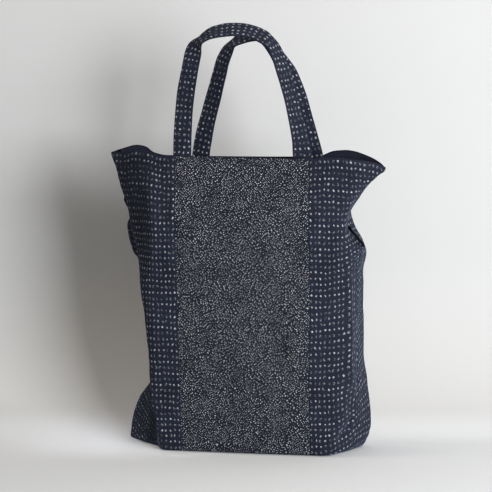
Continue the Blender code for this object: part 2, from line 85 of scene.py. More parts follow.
# Each crease from the floor to the rim. height is a share of the body's height along the
# cloth, across a share of its half width and depth a share of its depth.
CREASES: dict[str, Columns] = {
    "front_right": table(
        "height across depth",
        (0.00, 0.625, -0.46),
        (0.08, 0.670, -0.49),
        (0.15, 0.710, -0.50),
        (0.23, 0.728, -0.48),
        (0.33, 0.738, -0.45),
        (0.53, 0.733, -0.42),
        (0.63, 0.733, -0.42),
        (0.71, 0.734, -0.43),
        (0.76, 0.722, -0.42),
        (0.80, 0.727, -0.39),
        (0.86, 0.750, -0.33),
        (1.00, 0.820, -0.20),
    ),
    "right": table(
        "height across depth",
        (0.00, 0.755, 0.02),
        (0.18, 0.810, 0.00),
        (0.35, 0.803, 0.00),
        (0.59, 0.800, 0.00),
        (0.66, 0.815, 0.00),
        (0.705, 0.832, 0.00),
        (0.74, 0.785, 0.00),
        (0.773, 0.730, 0.00),
        (0.82, 0.750, 0.00),
        (0.868, 0.810, 0.00),
        (0.915, 0.873, 0.00),
        (0.95, 0.934, 0.00),
        (1.00, 1.003, 0.00),
    ),
    "back_right": table(
        "height across depth",
        (0.00, 0.826, 0.54),
        (0.05, 0.862, 0.57),
        (0.08, 0.878, 0.56),
        (0.15, 0.866, 0.53),
        (0.25, 0.845, 0.50),
        (0.34, 0.820, 0.46),
        (0.51, 0.820, 0.42),
        (0.62, 0.824, 0.39),
        (0.675, 0.843, 0.38),
        (0.725, 0.810, 0.36),
        (0.76, 0.768, 0.35),
        (0.81, 0.725, 0.34),
        (0.86, 0.735, 0.32),
        (1.00, 0.800, 0.24),
    ),
    "back_left": table(
        "height across depth",
        (0.00, -0.910, 0.51),
        (0.05, -0.903, 0.52),
        (0.09, -0.887, 0.51),
        (0.15, -0.835, 0.49),
        (0.21, -0.750, 0.46),
        (0.26, -0.717, 0.45),
        (0.39, -0.747, 0.44),
        (0.54, -0.790, 0.42),
        (0.625, -0.812, 0.40),
        (0.67, -0.876, 0.38),
        (0.755, -0.910, 0.36),
        (0.80, -0.870, 0.35),
        (0.86, -0.835, 0.32),
        (1.00, -0.800, 0.24),
    ),
    "left": table(
        "height across depth",
        (0.00, -0.650, -0.12),
        (0.08, -0.640, -0.10),
        (0.16, -0.620, -0.06),
        (0.25, -0.575, 0.00),
        (0.39, -0.575, 0.00),
        (0.53, -0.610, 0.00),
        (0.66, -0.690, 0.00),
        (0.77, -0.760, 0.00),
        (0.82, -0.840, 0.00),
        (0.86, -0.888, 0.00),
        (0.90, -0.922, 0.00),
        (0.95, -0.953, 0.00),
        (1.00, -0.990, 0.00),
    ),
    "front_left": table(
        "height across depth",
        (0.00, -0.585, -0.45),
        (0.08, -0.610, -0.48),
        (0.16, -0.643, -0.48),
        (0.24, -0.660, -0.48),
        (0.32, -0.672, -0.47),
        (0.46, -0.713, -0.45),
        (0.54, -0.740, -0.43),
        (0.66, -0.770, -0.40),
        (0.71, -0.795, -0.39),
        (0.75, -0.828, -0.38),
        (0.79, -0.835, -0.37),
        (0.86, -0.830, -0.32),
        (1.00, -0.825, -0.20),
    ),
}

# How softly each crease turns, as the length of cloth on each side that takes the turn
EASES = table(
    "height front_right right back_right back_left left front_left",
    (0.00, 0.014, 0.007, 0.012, 0.010, 0.007, 0.005),
    (0.20, 0.017, 0.007, 0.012, 0.011, 0.007, 0.006),
    (0.30, 0.034, 0.007, 0.012, 0.012, 0.007, 0.013),
    (0.50, 0.034, 0.007, 0.012, 0.014, 0.007, 0.022),
    (0.74, 0.011, 0.006, 0.010, 0.014, 0.007, 0.034),
    (0.88, 0.018, 0.007, 0.016, 0.018, 0.007, 0.038),
    (1.00, 0.022, 0.007, 0.020, 0.020, 0.007, 0.030),
)

# The middle of the centre panels as a share of the half width, and how much of their
# cloth's width shows.
CENTRE_PANEL = table(
    "height middle width",
    (0.00, 0.036, 0.972),
    (0.22, 0.029, 0.972),
    (0.52, 0.018, 0.995),
    (0.86, -0.003, 1.005),
    (1.00, -0.014, 1.005),
)

# How far the front and the back bow out between their folds, as shares of the depth
BELLY = table(
    "height front back",
    (0.00, 0.02, 0.02),
    (0.10, 0.05, 0.05),
    (0.50, 0.07, 0.07),
    (0.80, 0.05, 0.05),
    (1.00, 0.00, 0.00),
)

# How far the rim rises above the body's height along the mouth, as a share of it
FRONT_RIM = table(
    "across lift",
    (-1.00, 0.014),
    (-0.88, 0.014),
    (-0.80, 0.021),
    (-0.72, 0.019),
    (-0.67, 0.013),
    (-0.58, 0.004),
    (-0.30, 0.000),
    (0.30, -0.002),
    (0.45, -0.003),
    (0.60, 0.003),
    (0.68, 0.003),
    (0.76, -0.002),
    (0.85, -0.006),
    (0.93, -0.014),
    (0.97, -0.021),
    (1.00, -0.029),
)
BACK_RIM = table(
    "across lift",
    (-1.00, 0.014),
    (-0.93, 0.024),
    (-0.82, 0.037),
    (-0.76, 0.032),
    (-0.70, 0.012),
    (-0.60, 0.002),
    (0.00, 0.000),
    (0.50, 0.003),
    (0.62, 0.022),
    (0.70, 0.025),
    (0.76, 0.022),
    (0.84, 0.011),
    (0.92, -0.004),
    (0.97, -0.018),
    (1.00, -0.029),
)

# Each handle from its left end to its right end, above the rim. across is a share of the
# half width, height a share of the rise, depth a share of the strap's width, and tilt the
# degrees by which the outer edge leans back.
FRONT_HANDLE = table(
    "across height depth tilt",
    (-0.451, 0.000, -0.45, 0),
    (-0.446, 0.230, -0.46, 0),
    (-0.426, 0.485, -0.46, 4),
    (-0.392, 0.700, -0.45, 10),
    (-0.373, 0.800, -0.44, 13),
    (-0.357, 0.860, -0.43, 27),
    (-0.321, 0.910, -0.42, 61),
    (-0.274, 0.948, -0.42, 56),
    (-0.235, 0.970, -0.42, 48),
    (-0.152, 0.989, -0.42, 44),
    (-0.073, 0.996, -0.42, 45),
    (0.017, 0.987, -0.42, 45),
    (0.100, 0.957, -0.42, 46),
    (0.161, 0.915, -0.42, 54),
    (0.207, 0.865, -0.43, 60),
    (0.236, 0.800, -0.43, 56),
    (0.269, 0.700, -0.45, 54),
    (0.326, 0.495, -0.46, 52),
    (0.370, 0.300, -0.47, 48),
    (0.404, 0.130, -0.46, 36),
    (0.417, 0.000, -0.45, 0),
)
BACK_HANDLE = table(
    "across height depth tilt",
    (-0.347, 0.000, 0.45, 0),
    (-0.309, 0.210, 0.46, 12),
    (-0.255, 0.440, 0.47, 24),
    (-0.207, 0.635, 0.46, 30),
    (-0.178, 0.752, 0.45, 34),
    (-0.141, 0.837, 0.44, 43),
    (-0.105, 0.888, 0.44, 61),
    (-0.047, 0.926, 0.44, 50),
    (0.033, 0.951, 0.44, 46),
    (0.105, 0.946, 0.44, 50),
    (0.158, 0.890, 0.44, 57),
    (0.208, 0.810, 0.44, 54),
    (0.258, 0.725, 0.44, 40),
    (0.298, 0.650, 0.44, 24),
    (0.352, 0.500, 0.45, 10),
    (0.401, 0.330, 0.46, 5),
    (0.447, 0.155, 0.46, 0),
    (0.478, 0.000, 0.45, 0),
)

# How far the outer half of the front's left side falls back and where that starts, both
# in metres, and the slope at which the whole side leans back.
LEFT_TURN = table(
    "height back from_seam lean",
    (0.00, 0.000, 0.030, 0.00),
    (0.30, 0.002, 0.030, 0.03),
    (0.55, 0.005, 0.030, 0.05),
    (0.66, 0.012, 0.028, 0.06),
    (0.74, 0.016, 0.027, 0.06),
    (0.81, 0.012, 0.027, 0.07),
    (0.87, 0.006, 0.032, 0.08),
    (0.93, 0.001, 0.042, 0.10),
    (1.00, 0.000, 0.050, 0.10),
)

# How much cloth the tucks take up at each crease, in metres. The rows of marks climb
# by this much there.
CLIMB = table(
    "height front_right right back_right back_left left front_left",
    (0.00, 0.002, 0.012, 0.022, 0.092, 0.030, 0.002),
    (0.15, 0.003, 0.018, 0.032, 0.080, 0.026, 0.002),
    (0.40, 0.004, 0.026, 0.042, 0.014, 0.008, 0.001),
    (0.62, 0.004, 0.026, 0.040, 0.004, 0.002, 0.001),
    (0.76, 0.000, 0.006, 0.008, 0.000, 0.000, 0.000),
    (1.00, 0.000, 0.000, 0.000, 0.000, 0.000, 0.000),
)

# Soft folds in the side panels. u is the distance from the centre seam and v the distance
# below the rim, both in metres. A rise below 0 is a hollow.
SIDE_FOLDS: dict[str, Columns] = {}
SIDE_FOLDS["front_right_panel"] = table(
    "u0 v0 u1 v1 width rise",
    (0.050, 0.086, 0.022, 0.140, 0.0075, 0.0011),
    (0.048, 0.092, 0.036, 0.190, 0.0060, -0.0008),
    (0.030, 0.020, 0.052, 0.080, 0.0090, -0.0010),
    (0.040, 0.290, 0.074, 0.352, 0.0080, -0.0016),
    (0.050, 0.262, 0.080, 0.322, 0.0070, 0.0012),
    (0.038, 0.374, 0.086, 0.350, 0.0085, -0.0032),
    (0.016, 0.180, 0.024, 0.330, 0.0100, -0.0007),
)
SIDE_FOLDS["front_left_panel"] = table(
    "u0 v0 u1 v1 width rise",
    (0.037, 0.020, 0.034, 0.185, 0.0085, 0.0019),
    (0.052, 0.060, 0.048, 0.170, 0.0090, -0.0016),
    (0.030, 0.200, 0.036, 0.330, 0.0070, 0.0009),
    (0.018, 0.120, 0.044, 0.215, 0.0080, -0.0009),
    (0.014, 0.300, 0.040, 0.372, 0.0080, -0.0008),
    (0.012, 0.030, 0.020, 0.160, 0.0090, -0.0006),
)
SIDE_FOLDS["back_right_panel"] = SIDE_FOLDS["back_left_panel"] = table(
    "u0 v0 u1 v1 width rise",
    (0.046, 0.070, 0.024, 0.150, 0.0085, 0.0014),
    (0.030, 0.160, 0.040, 0.310, 0.0090, -0.0010),
    (0.018, 0.240, 0.050, 0.350, 0.0080, 0.0010),
)


def smooth(x: np.ndarray, y: np.ndarray, at: np.ndarray) -> np.ndarray:
    """A curve through points, with no overshoot.

    Args:
        x: The points' places, rising.
        y: The points' values.
        at: The places wanted.

    Returns:
        The curve's value at each place.
    """
    step, rise = np.diff(x), np.diff(y)
    slope = rise / step
    tangent = np.zeros(len(x))
    same = slope[:-1] * slope[1:] > 0
    before, after = (step[:-1] + 2 * step[1:])[same], (2 * step[:-1] + step[1:])[same]
    tangent[1:-1][same] = (before + after) / (before / slope[:-1][same] + after / slope[1:][same])
    at = np.clip(at, x[0], x[-1])
    k = np.clip(np.searchsorted(x, at, side="right") - 1, 0, len(x) - 2)
    t = (at - x[k]) / step[k]
    return ((2 * t**3 - 3 * t**2 + 1) * y[k] + (t**3 - 2 * t**2 + t) * step[k] * tangent[k]
            + (3 * t**2 - 2 * t**3) * y[k + 1] + (t**3 - t**2) * step[k] * tangent[k + 1])


def step_up(low: float, high: float, at: np.ndarray) -> np.ndarray:
    """A soft step.

    Args:
        low: Where the step starts.
        high: Where it ends.
        at: The places wanted.

    Returns:
        0 before the step, 1 after it, and a smooth rise between.
    """
    t = np.clip((at - low) / (high - low), 0, 1)
    return t * t * (3 - 2 * t)


def ripples(u: np.ndarray, v: np.ndarray, length: float, seed: int, waves: int = 7) -> np.ndarray:
    """Gentle uneven waves over a cloth.

    Args:
        u: Places round the cloth.
        v: Places down the cloth.
        length: The usual length of a wave, in metres.
        seed: Picks one pattern of waves.
        waves: How many waves lie over each other.

    Returns:
        The height at each place, about -1 to 1.
    """
    random = np.random.default_rng(seed)
    total = np.zeros(np.shape(u))
    for _ in range(waves):
        angle = random.uniform(0, math.tau)
        wave = math.tau / (length * random.uniform(0.6, 1.7))
        phase = random.uniform(0, math.tau)
        total = total + np.sin(wave * (u * math.cos(angle) + v * math.sin(angle)) + phase)
    return total / (waves / 2)


def unit(vectors: np.ndarray) -> np.ndarray:
    """Vectors of length 1 in the same directions."""
    return vectors / np.linalg.norm(vectors, axis=-1, keepdims=True)


def on_line(first: np.ndarray, last: np.ndarray, across: np.ndarray) -> np.ndarray:
    """The place at a given distance across on the line through two places, row by row."""
    t = (across - first[:, 0]) / (last[:, 0] - first[:, 0])
    return first + (last - first) * t[:, None]


def straight(first: np.ndarray, last: np.ndarray, steps: int) -> np.ndarray:
    """Even steps from one place to just short of another, row by row."""
    t = np.linspace(0, 1, steps, endpoint=False)[None, :, None]
    return first[:, None] + (last - first)[:, None] * t


def put(name: str, data: bpy.types.ID) -> bpy.types.Object:
    """Puts a mesh, light or camera into the scene as an object."""
    made = bpy.data.objects.new(name, data)
    bpy.context.scene.collection.objects.link(made)
    return made


def run_along(points: np.ndarray, axis: int) -> np.ndarray:
    """Distance along lines of points.

    Args:
        points: A grid of points in space.
        axis: 0 for down the rows, 1 for round the columns.

    Returns:
        The distance of each point from the first on its line.
    """
    steps = np.linalg.norm(np.diff(points, axis=axis), axis=-1)
    start = np.zeros_like(np.take(steps, [0], axis=axis))
    return np.cumsum(np.concatenate([start, steps], axis=axis), axis=axis)


@dataclass
class Weave:
    """The points of one cloth mesh while it is being made."""

    points: np.ndarray
    uv: np.ndarray
    reverse: np.ndarray
    faces: list

    def __post_init__(self) -> None:
        """Lays the grids of points out as lists."""
        self.points, self.uv = self.points.reshape(-1, 3), self.uv.reshape(-1, 2)
        self.reverse = self.reverse.ravel()

    @classmethod
    def tube(cls, points: np.ndarray, uv: np.ndarray, reverse: np.ndarray | float = 0.0) -> "Weave":
        """Cloth drawn through its cross-sections and closed at both ends.

        Args:
            points: The cross-sections, a row each, whose last point is the first again.
            uv: Each point's place on the cloth.
            reverse: How far each point is on the cloth's reverse side.

        Returns:
            The mesh.
        """
        rows, count = points.shape[:2]
        faces = grid_faces(rows, count, False)
        faces.append(list(range(count - 2, -1, -1)))
        faces.append(list(range((rows - 1) * count, rows * count - 1)))
        return cls(points, uv, np.broadcast_to(reverse, (rows, count)), faces)

    def piece(self, name: str, material: bpy.types.Material, sharp: float = 55.0) -> bpy.types.Object:
        """Turns the points into an object with its UV map and its reverse side marked, painted shade
        included.

        Args:
            name: The object's name.
            material: The cloth it is made of.
            sharp: The angle in degrees past which an edge stays crisp.

        Returns:
            The object, with its place in its mesh.
        """
        mesh = bpy.data.meshes.new(name)
        mesh.from_pydata(self.points.tolist(), [], self.faces)
        corners = np.zeros(len(mesh.loops), np.int32)
        mesh.loops.foreach_get("vertex_index", corners)
        layer = mesh.uv_layers.new(name=UV_NAME)
        layer.data.foreach_set("uv", self.uv[corners].astype(np.float32).ravel())
        mark = mesh.attributes.new(REVERSE_AND_SHADE, "FLOAT", "POINT")
        mark.data.foreach_set("value", self.reverse.astype(np.float32))
        shape = bmesh.new()
        shape.from_mesh(mesh)
        bmesh.ops.remove_doubles(shape, verts=shape.verts, dist=SAME_PLACE)
        shape.to_mesh(mesh)
        shape.free()
        mesh.materials.append(material)
        mesh.shade_smooth()
        mesh.set_sharp_from_angle(angle=math.radians(sharp))
        return put(name, mesh)


def blended(pair: list, start: float, end: float, at: np.ndarray) -> np.ndarray:
    """The first of a pair at the start, the second at the end, and a mix between."""
    return (end - at) / (end - start) * pair[0] + (at - start) / (end - start) * pair[1]


def grid_faces(rows: int, columns: int, closed_rows: bool) -> list:
    """Quads over a grid of points, turned outwards where the columns run to the right.

    Args:
        rows: How many rows the grid has.
        columns: How many columns it has.
        closed_rows: Whether the last row joins the first.

    Returns:
        The faces as lists of point numbers.
    """
    r = np.arange(rows if closed_rows else rows - 1)[:, None]
    c = np.arange(columns - 1)[None, :]
    low, high = r * columns + c, (r + 1) % rows * columns + c
    return np.stack([low, low + 1, high + 1, high], axis=-1).reshape(-1, 4).tolist()


class Crease(Enum):
    """The six creases of the body, in order round the bag from the front's middle."""

    FRONT_RIGHT = "front_right"
    RIGHT = "right"
    BACK_RIGHT = "back_right"
    BACK_LEFT = "back_left"
    LEFT = "left"
    FRONT_LEFT = "front_left"


@dataclass
class BodyShape:
    """The cloth shell of the bag, drawn as level sections between its creases."""

    height: float = 0.386
    half_width: float = 0.184
    depth: float = 0.080
    panel_width: float = 0.176
    wall: float = 0.0016
    foot_roll: float = 0.006
    most_ease: float = 0.42
    lift_starts: float = 0.72
    half_panel_steps: int = 36
    side_steps: int = 18
    fold_steps: int = 16
    gusset_steps: int = 12
    seam_steps: int = 12
    foot_steps: int = 7
    wall_steps: int = 190
    middle_x: float = 0.00113
    middle_y: float = 0.00126

    @property
    def quarter(self) -> int:
        """Columns from a face's middle to the next side seam."""
        return (self.half_panel_steps + self.side_steps + self.fold_steps
                + self.gusset_steps + self.seam_steps // 2)

    @property
    def columns(self) -> int:
        """Columns all round the bag."""
        return 4 * self.quarter

    def crease(self, which: Crease, share: np.ndarray) -> np.ndarray:
        """A crease's place in each level section.

        Args:
            which: The crease.
            share: Shares of the cloth's height.

        Returns:
            Its across and depth at each share, in metres.
        """
        rows = CREASES[which.value]
        return np.stack([self.half_width * read(rows, "across", share),
                         self.depth * read(rows, "depth", share)], axis=-1)

    def eased(self, corner: np.ndarray, other: np.ndarray, ease: np.ndarray) -> np.ndarray:
        """Where a soft corner leaves its side.

        Args:
            corner: The corner's places.
            other: The next corner's places.
            ease: The length of the side that the turn takes.

        Returns:
            The places, short of the side's middle.
        """
        away = other - corner
        length = np.linalg.norm(away, axis=-1)
        return corner + away * (np.minimum(ease, self.most_ease * length) / length)[:, None]

    def rounded(self, places: list, eases: list) -> list:
        """Soft corners, each a curve whose middle passes through its crease's place.

        Args:
            places: The six creases' places.
            eases: The six lengths of cloth that take the turns.

        Returns:
            The points of the six curves.
        """
        steps = [self.fold_steps, self.seam_steps, self.fold_steps] * 2
        pushed = []
        for k, place in enumerate(places):
            before = self.eased(place, places[k - 1], eases[k])
            after = self.eased(place, places[(k + 1) % 6], eases[k])
            pushed.append(place + (place - (before + 2 * place + after) / 4))
        curves = []
        for k, corner in enumerate(pushed):
            first = self.eased(corner, pushed[k - 1], eases[k])[:, None]
            last = self.eased(corner, pushed[(k + 1) % 6], eases[k])[:, None]
            t = np.linspace(0, 1, steps[k] + 1)[None, :, None]
            curves.append((1 - t)**2 * first + 2 * t * (1 - t) * corner[:, None] + t**2 * last)
        return curves

    def sections(self, share: np.ndarray, tip_clearance: float = 0.0,
                 seam_ease: float | None = None) -> np.ndarray:
        """The outside of the bag in level cuts, from the front's middle round by the right.

        Args:
            share: Shares of the cloth's height.
            tip_clearance: How far the section stays short of the mouth's tips.
            seam_ease: The turn at the side seams, where it isn't the cloth's own.

        Returns:
            The points, by row, column and coordinate.
        """
        places = [self.crease(which, share) for which in Crease]
        places[1][:, 0] -= tip_clearance
        places[4][:, 0] += tip_clearance
        eases = [read(EASES, which.value, share) for which in Crease]
        if seam_ease is not None:
            eases[1] = eases[4] = np.full(len(share), seam_ease)
        fr, right, br, bl, left, fl = self.rounded(places, eases)
        middle = self.half_width * read(CENTRE_PANEL, "middle", share)
        half = self.panel_width / 2 * read(CENTRE_PANEL, "width", share)
        front = [on_line(fl[:, -1], fr[:, 0], middle + x) for x in (-half, 0 * half, half)]
        back = [on_line(br[:, -1], bl[:, 0], middle + x) for x in (half, 0 * half, -half)]
        panel, side, gusset = self.half_panel_steps, self.side_steps, self.gusset_steps
        runs = []
        for start, near, seam, far, end in ((front, fr, right, br, back), (back, bl, left, fl, front)):
            runs += [straight(start[1], start[2], panel), straight(start[2], near[:, 0], side),
                     near[:, :-1], straight(near[:, -1], seam[:, 0], gusset),
                     seam[:, :-1], straight(seam[:, -1], far[:, 0], gusset),
                     far[:, :-1], straight(far[:, -1], end[0], side), straight(end[0], end[1], panel)]
        points = np.concatenate(runs, axis=1)
        reach = panel + side + self.fold_steps // 2
        for name, first, sign, ends in (("front", 0, -1, (5, 0)), ("back", 2 * self.quarter, 1, (3, 2))):
            at = [(first + k) % self.columns for k in range(-reach, reach + 1)]
            low, high = places[ends[0]][:, :1], places[ends[1]][:, :1]
            t = np.clip((points[:, at, 0] - low) / (high - low), 0, 1)
            bow = self.depth * read(BELLY, name, share)[:, None]
            points[:, at, 1] += sign * bow * 4 * t * (1 - t)
        return points

    def levels(self, share: np.ndarray, **shape: float) -> np.ndarray:
        """Rows of the cloth as points in space.

        Args:
            share: Shares of the cloth's height.
            shape: What sections() takes besides.

        Returns:
            The points, by row, column and coordinate.
        """
        points = self.sections(share, **shape)
        across = points[..., 0] / self.half_width
        front = points[..., 1] < 0
        lift = np.where(front, read(FRONT_RIM, "lift", across), read(BACK_RIM, "lift", across))
        rise = step_up(self.lift_starts, 1, share)[:, None]
        height = self.height * (share[:, None] + lift * rise)
        return self.moved(np.concatenate([points, height[..., None]], axis=-1))

    def moved(self, points: np.ndarray) -> np.ndarray:
        """The points with the middle of the bag's box over the origin."""
        return points - (self.middle_x, self.middle_y, 0.0)

    def foot(self) -> tuple[np.ndarray, np.ndarray]:
        """The rows where the cloth rolls under the bag, from the floor up.

        Returns:
            The points, and the direction out of the cloth at each.
        """
        angle = math.pi / 2 * (1 - np.arange(self.foot_steps) / self.foot_steps)
        height = self.foot_roll * (1 - np.sin(angle))
        points = self.sections(height / self.height)
        along = np.roll(points, -1, axis=1) - np.roll(points, 1, axis=1)
        out = unit(np.stack([along[..., 1], -along[..., 0]], axis=-1))
        points = points - out * (self.foot_roll * (1 - np.cos(angle)))[:, None, None]
        level = np.broadcast_to(height[:, None, None], points.shape[:2] + (1,))
        down = np.broadcast_to(-np.sin(angle)[:, None, None], level.shape)
        outward = np.concatenate([out * np.cos(angle)[:, None, None], down], axis=-1)
        return self.moved(np.concatenate([points, level], axis=-1)), outward

    def normals(self, grid: np.ndarray) -> np.ndarray:
        """The direction out of a closed band of cloth at each point of its grid."""
        around = np.roll(grid, -1, axis=1) - np.roll(grid, 1, axis=1)
        return unit(np.cross(around, np.gradient(grid, axis=0)))

    def shares(self) -> np.ndarray:
        """The shares of the height at which the wall above the foot has its rows."""
        first = self.foot_roll / self.height
        return np.linspace(first, 1, self.wall_steps)


class Panel(Enum):
    """The six panels round the side, each by the name of its node."""

    FRONT_CENTRE = "front_centre_panel"
    FRONT_RIGHT = "front_right_panel"
    BACK_RIGHT = "back_right_panel"
    BACK_CENTRE = "back_centre_panel"
    BACK_LEFT = "back_left_panel"
    FRONT_LEFT = "front_left_panel"

    @property
    def centre(self) -> bool:
        """Whether this is one of the two centre panels."""
        return self in (Panel.FRONT_CENTRE, Panel.BACK_CENTRE)


class Value:
    """A number or vector worked out by a shader's nodes, on which plain sums add nodes."""

    def __init__(self, drawing: "Drawing", socket: bpy.types.NodeSocket) -> None:
        """Keeps a node's result."""
        self.drawing = drawing
        self.socket = socket

    def sum(self, operation: str, *others: object) -> "Value":
        """One sum on numbers, with this one first."""
        made = self.drawing.node("ShaderNodeMath", (self, *others), operation=operation)
        return Value(self.drawing, made.outputs[0])

    def __add__(self, other: object) -> "Value":
        """Both together."""
        return self.sum("ADD", other)

    def __sub__(self, other: object) -> "Value":
        """This less the other."""
        return self.sum("SUBTRACT", other)

    def __mul__(self, other: object) -> "Value":
        """This times the other."""
        return self.sum("MULTIPLY", other)

    def __truediv__(self, other: object) -> "Value":
        """This by the other."""
        return self.sum("DIVIDE", other)

    def __abs__(self) -> "Value":
        """This without its sign."""
        return self.sum("ABSOLUTE")

    def left(self) -> "Value":
        """What is left of 1 when this is taken away."""
        made = self.drawing.node("ShaderNodeMath", (1.0, self), operation="SUBTRACT")
        return Value(self.drawing, made.outputs[0])

    def scaled(self, scale: float, plus: object) -> "Value":
        """This times a number, and another added."""
        return self.sum("MULTIPLY_ADD", scale, plus)

    def spread(self, span: float, middle: float = 0.0) -> "Value":
        """A random number made to lie evenly round a middle value."""
        return self.scaled(span, middle - span / 2)

    def step(self, low: float, high: float, first: float = 0.0, last: float = 1.0) -> "Value":
        """A soft step between two values.

        Args:
            low: Where the step starts.
            high: Where it ends.
            first: The result before it.
            last: The result after it.

        Returns:
            The result.
        """
        names = ("Value", "From Min", "From Max", "To Min", "To Max")
        inputs = dict(zip(names, (self, low, high, first, last)))
        made = self.drawing.node("ShaderNodeMapRange", inputs, interpolation_type="SMOOTHSTEP")
        return Value(self.drawing, made.outputs[0])


class Drawing:
    """A material's shader, put together from small steps."""

    def __init__(self, name: str) -> None:
        """Starts a material with its plain shader.

        Args:
            name: The material's name.
        """
        self.material = bpy.data.materials.new(name)
        self.material.use_nodes = True
        self.nodes = self.material.node_tree.nodes
        self.links = self.material.node_tree.links
        self.surface = self.nodes["Principled BSDF"]

    def join(self, socket: bpy.types.NodeSocket, value: object) -> None:
        """Links a socket to another, or sets its own value.

        Args:
            socket: The input.
            value: An output to link, or a number, colour or vector.
        """
        value = value.socket if isinstance(value, Value) else value
        if isinstance(value, bpy.types.NodeSocket):
            self.links.new(value, socket)
        else:
            socket.default_value = value

    def node(self, kind: str, inputs: dict | tuple = (), **settings: object) -> bpy.types.Node:
        """Adds a node.

        Args:
            kind: The node's type.
            inputs: What goes into its inputs, by name or number, or in their order.
            settings: Its own settings by name.

        Returns:
            The new node.
        """
        made = self.nodes.new(kind)
        for name, value in settings.items():
            setattr(made, name, value)
        for place, value in inputs.items() if isinstance(inputs, dict) else enumerate(inputs):
            self.join(made.inputs[place], value)
        return made

    def vector(self, x: object, y: object, z: object = 0.0) -> Value:
        """A vector from three numbers."""
        return Value(self, self.node("ShaderNodeCombineXYZ", (x, y, z)).outputs[0])

    def split(self, vector: object) -> tuple[Value, ...]:
        """The three numbers of a vector."""
        return tuple(Value(self, part) for part in self.node("ShaderNodeSeparateXYZ", (vector,)).outputs)

    def vectors(self, operation: str, *values: object) -> Value:
        """One sum on vectors."""
        return Value(self, self.node("ShaderNodeVectorMath", values, operation=operation).outputs[0])

    def blend(self, share: object, first: object, last: object, how: str = "MIX") -> Value:
        """Mixes two colours.

        Args:
            share: How much of the second.
            first: The first colour.
            last: The second colour.
            how: The way they mix.

        Returns:
            The colour.
        """
        first, last = ((*c, 1.0) if isinstance(c, tuple) else c for c in (first, last))
        made = self.node("ShaderNodeMix", {0: share, 6: first, 7: last}, data_type="RGBA", blend_type=how)
        return Value(self, made.outputs[2])

    def noise(self, place: object, scale: float, detail: float = 2.0, rough: float = 0.5,
              output: str = "Fac") -> Value:
        """Cloudy noise.

        Args:
            place: Where it is read.
            scale: How many lumps there are in a metre.
            detail: How many finer layers it has.
            rough: How strong the finer layers are.
            output: Fac for one number, or Color for three.

        Returns:
            The noise, about 0.3 to 0.7.
        """
        inputs = {"Vector": place, "Scale": scale, "Detail": detail, "Roughness": rough}
        return Value(self, self.node("ShaderNodeTexNoise", inputs).outputs[output])

    def threads(self, place: object, along: Pair, scale: float, detail: float = 2.0) -> Value:
        """Noise drawn out along the threads.

        Args:
            place: The cloth's place.
            along: How much of it is read across and down.
            scale: How many threads there are in a metre.
            detail: How many finer layers it has.

        Returns:
            The noise.
        """
        return self.noise(self.vectors("MULTIPLY", place, (*along, 1.0)), scale, detail)

    def mottle(self, uv: Value, streaks: Pair, clouds: tuple[float, ...], weight: float,
               edge: Pair) -> Value:
        """How light the dyed ground is, in streaks down the threads and in soft clouds.

        Args:
            uv: The cloth's place.
            streaks: How much of them is read across, and how many there are in a metre.
            clouds: The clouds' scale, detail and roughness.
            weight: How much each of the two counts.
            edge: Where the light parts start, and where they are full.

        Returns:
            The lightness, 0 to 1.
        """
        streak, cloud = self.threads(uv, (streaks[0], 1.0), streaks[1]), self.noise(uv, *clouds)
        return streak.scaled(weight, cloud * weight).step(*edge)

    def random(self, place: object) -> tuple[Value, ...]:
        """Three random numbers, the same all over one cell."""
        made = self.node("ShaderNodeTexWhiteNoise", {"Vector": place}, noise_dimensions="3D")
        return self.split(made.outputs["Color"])

    def uv(self) -> Value:
        """The cloth's own UV map, in metres."""
        return Value(self, self.node("ShaderNodeUVMap", uv_map=UV_NAME).outputs[0])

    def place(self) -> Value:
        """The place on the object, in metres."""
        return Value(self, self.node("ShaderNodeTexCoord").outputs["Object"])

    def reverse(self) -> Value:
        """1 on the cloth's reverse side, 0 on its face, and between where painted shade lies on the face.
        """
        return Value(self, self.node("ShaderNodeAttribute", attribute_name=REVERSE_AND_SHADE).outputs["Fac"])

    def weave(self, uv: Value, thread: float, height: float, slub: float = 0.5) -> Value:
        """The bumps of a plain weave with uneven threads.

        Args:
            uv: The cloth's place.
            thread: The width of a thread, in metres.
            height: How high the bumps are, in metres.
            slub: How uneven the threads are.

        Returns:
            The normal.
        """
        across = self.threads(uv, (1.0, 0.05), 0.75 / thread, 1.0)
        down = self.threads(uv, (0.05, 1.0), 0.75 / thread, 1.0)
        over, under = ((side * (math.pi / thread)).sum("SINE") for side in self.split(uv)[:2])
        total = across * slub + down * slub + over * under * 0.5
        inputs = {"Height": total, "Distance": height, "Strength": 1.0}
        return Value(self, self.node("ShaderNodeBump", inputs).outputs[0])

    def finish(self, **values: object) -> bpy.types.Material:
        """Sets the shader's own inputs.

        Args:
            values: What goes into each, by its name with _ for a space.

        Returns:
            The material.
        """
        for name, value in values.items():
            self.join(self.surface.inputs[name.replace("_", " ")], value)
        return self.material

    def cloth(self, colour: Value, rough: object, normal: Value | None, sheen: float,
              tint: Colour, shine: float = 0.15, fibres: float = 0.30) -> bpy.types.Material:
        """Makes the shader a matt cloth.

        Args:
            colour: The base colour.
            rough: The roughness.
            normal: The bumps, if any.
            sheen: How much pale sheen the fibres give at a slant.
            tint: The sheen's colour.
            shine: How much light glances off the threads.
            fibres: The sheen's roughness.

        Returns:
            The material.
        """
        if normal is not None:
            self.join(self.surface.inputs["Normal"], normal)
        return self.finish(Base_Color=colour, Roughness=rough, Specular_IOR_Level=shine,
                           Sheen_Weight=sheen, Sheen_Roughness=fibres, Sheen_Tint=(*tint, 1.0))


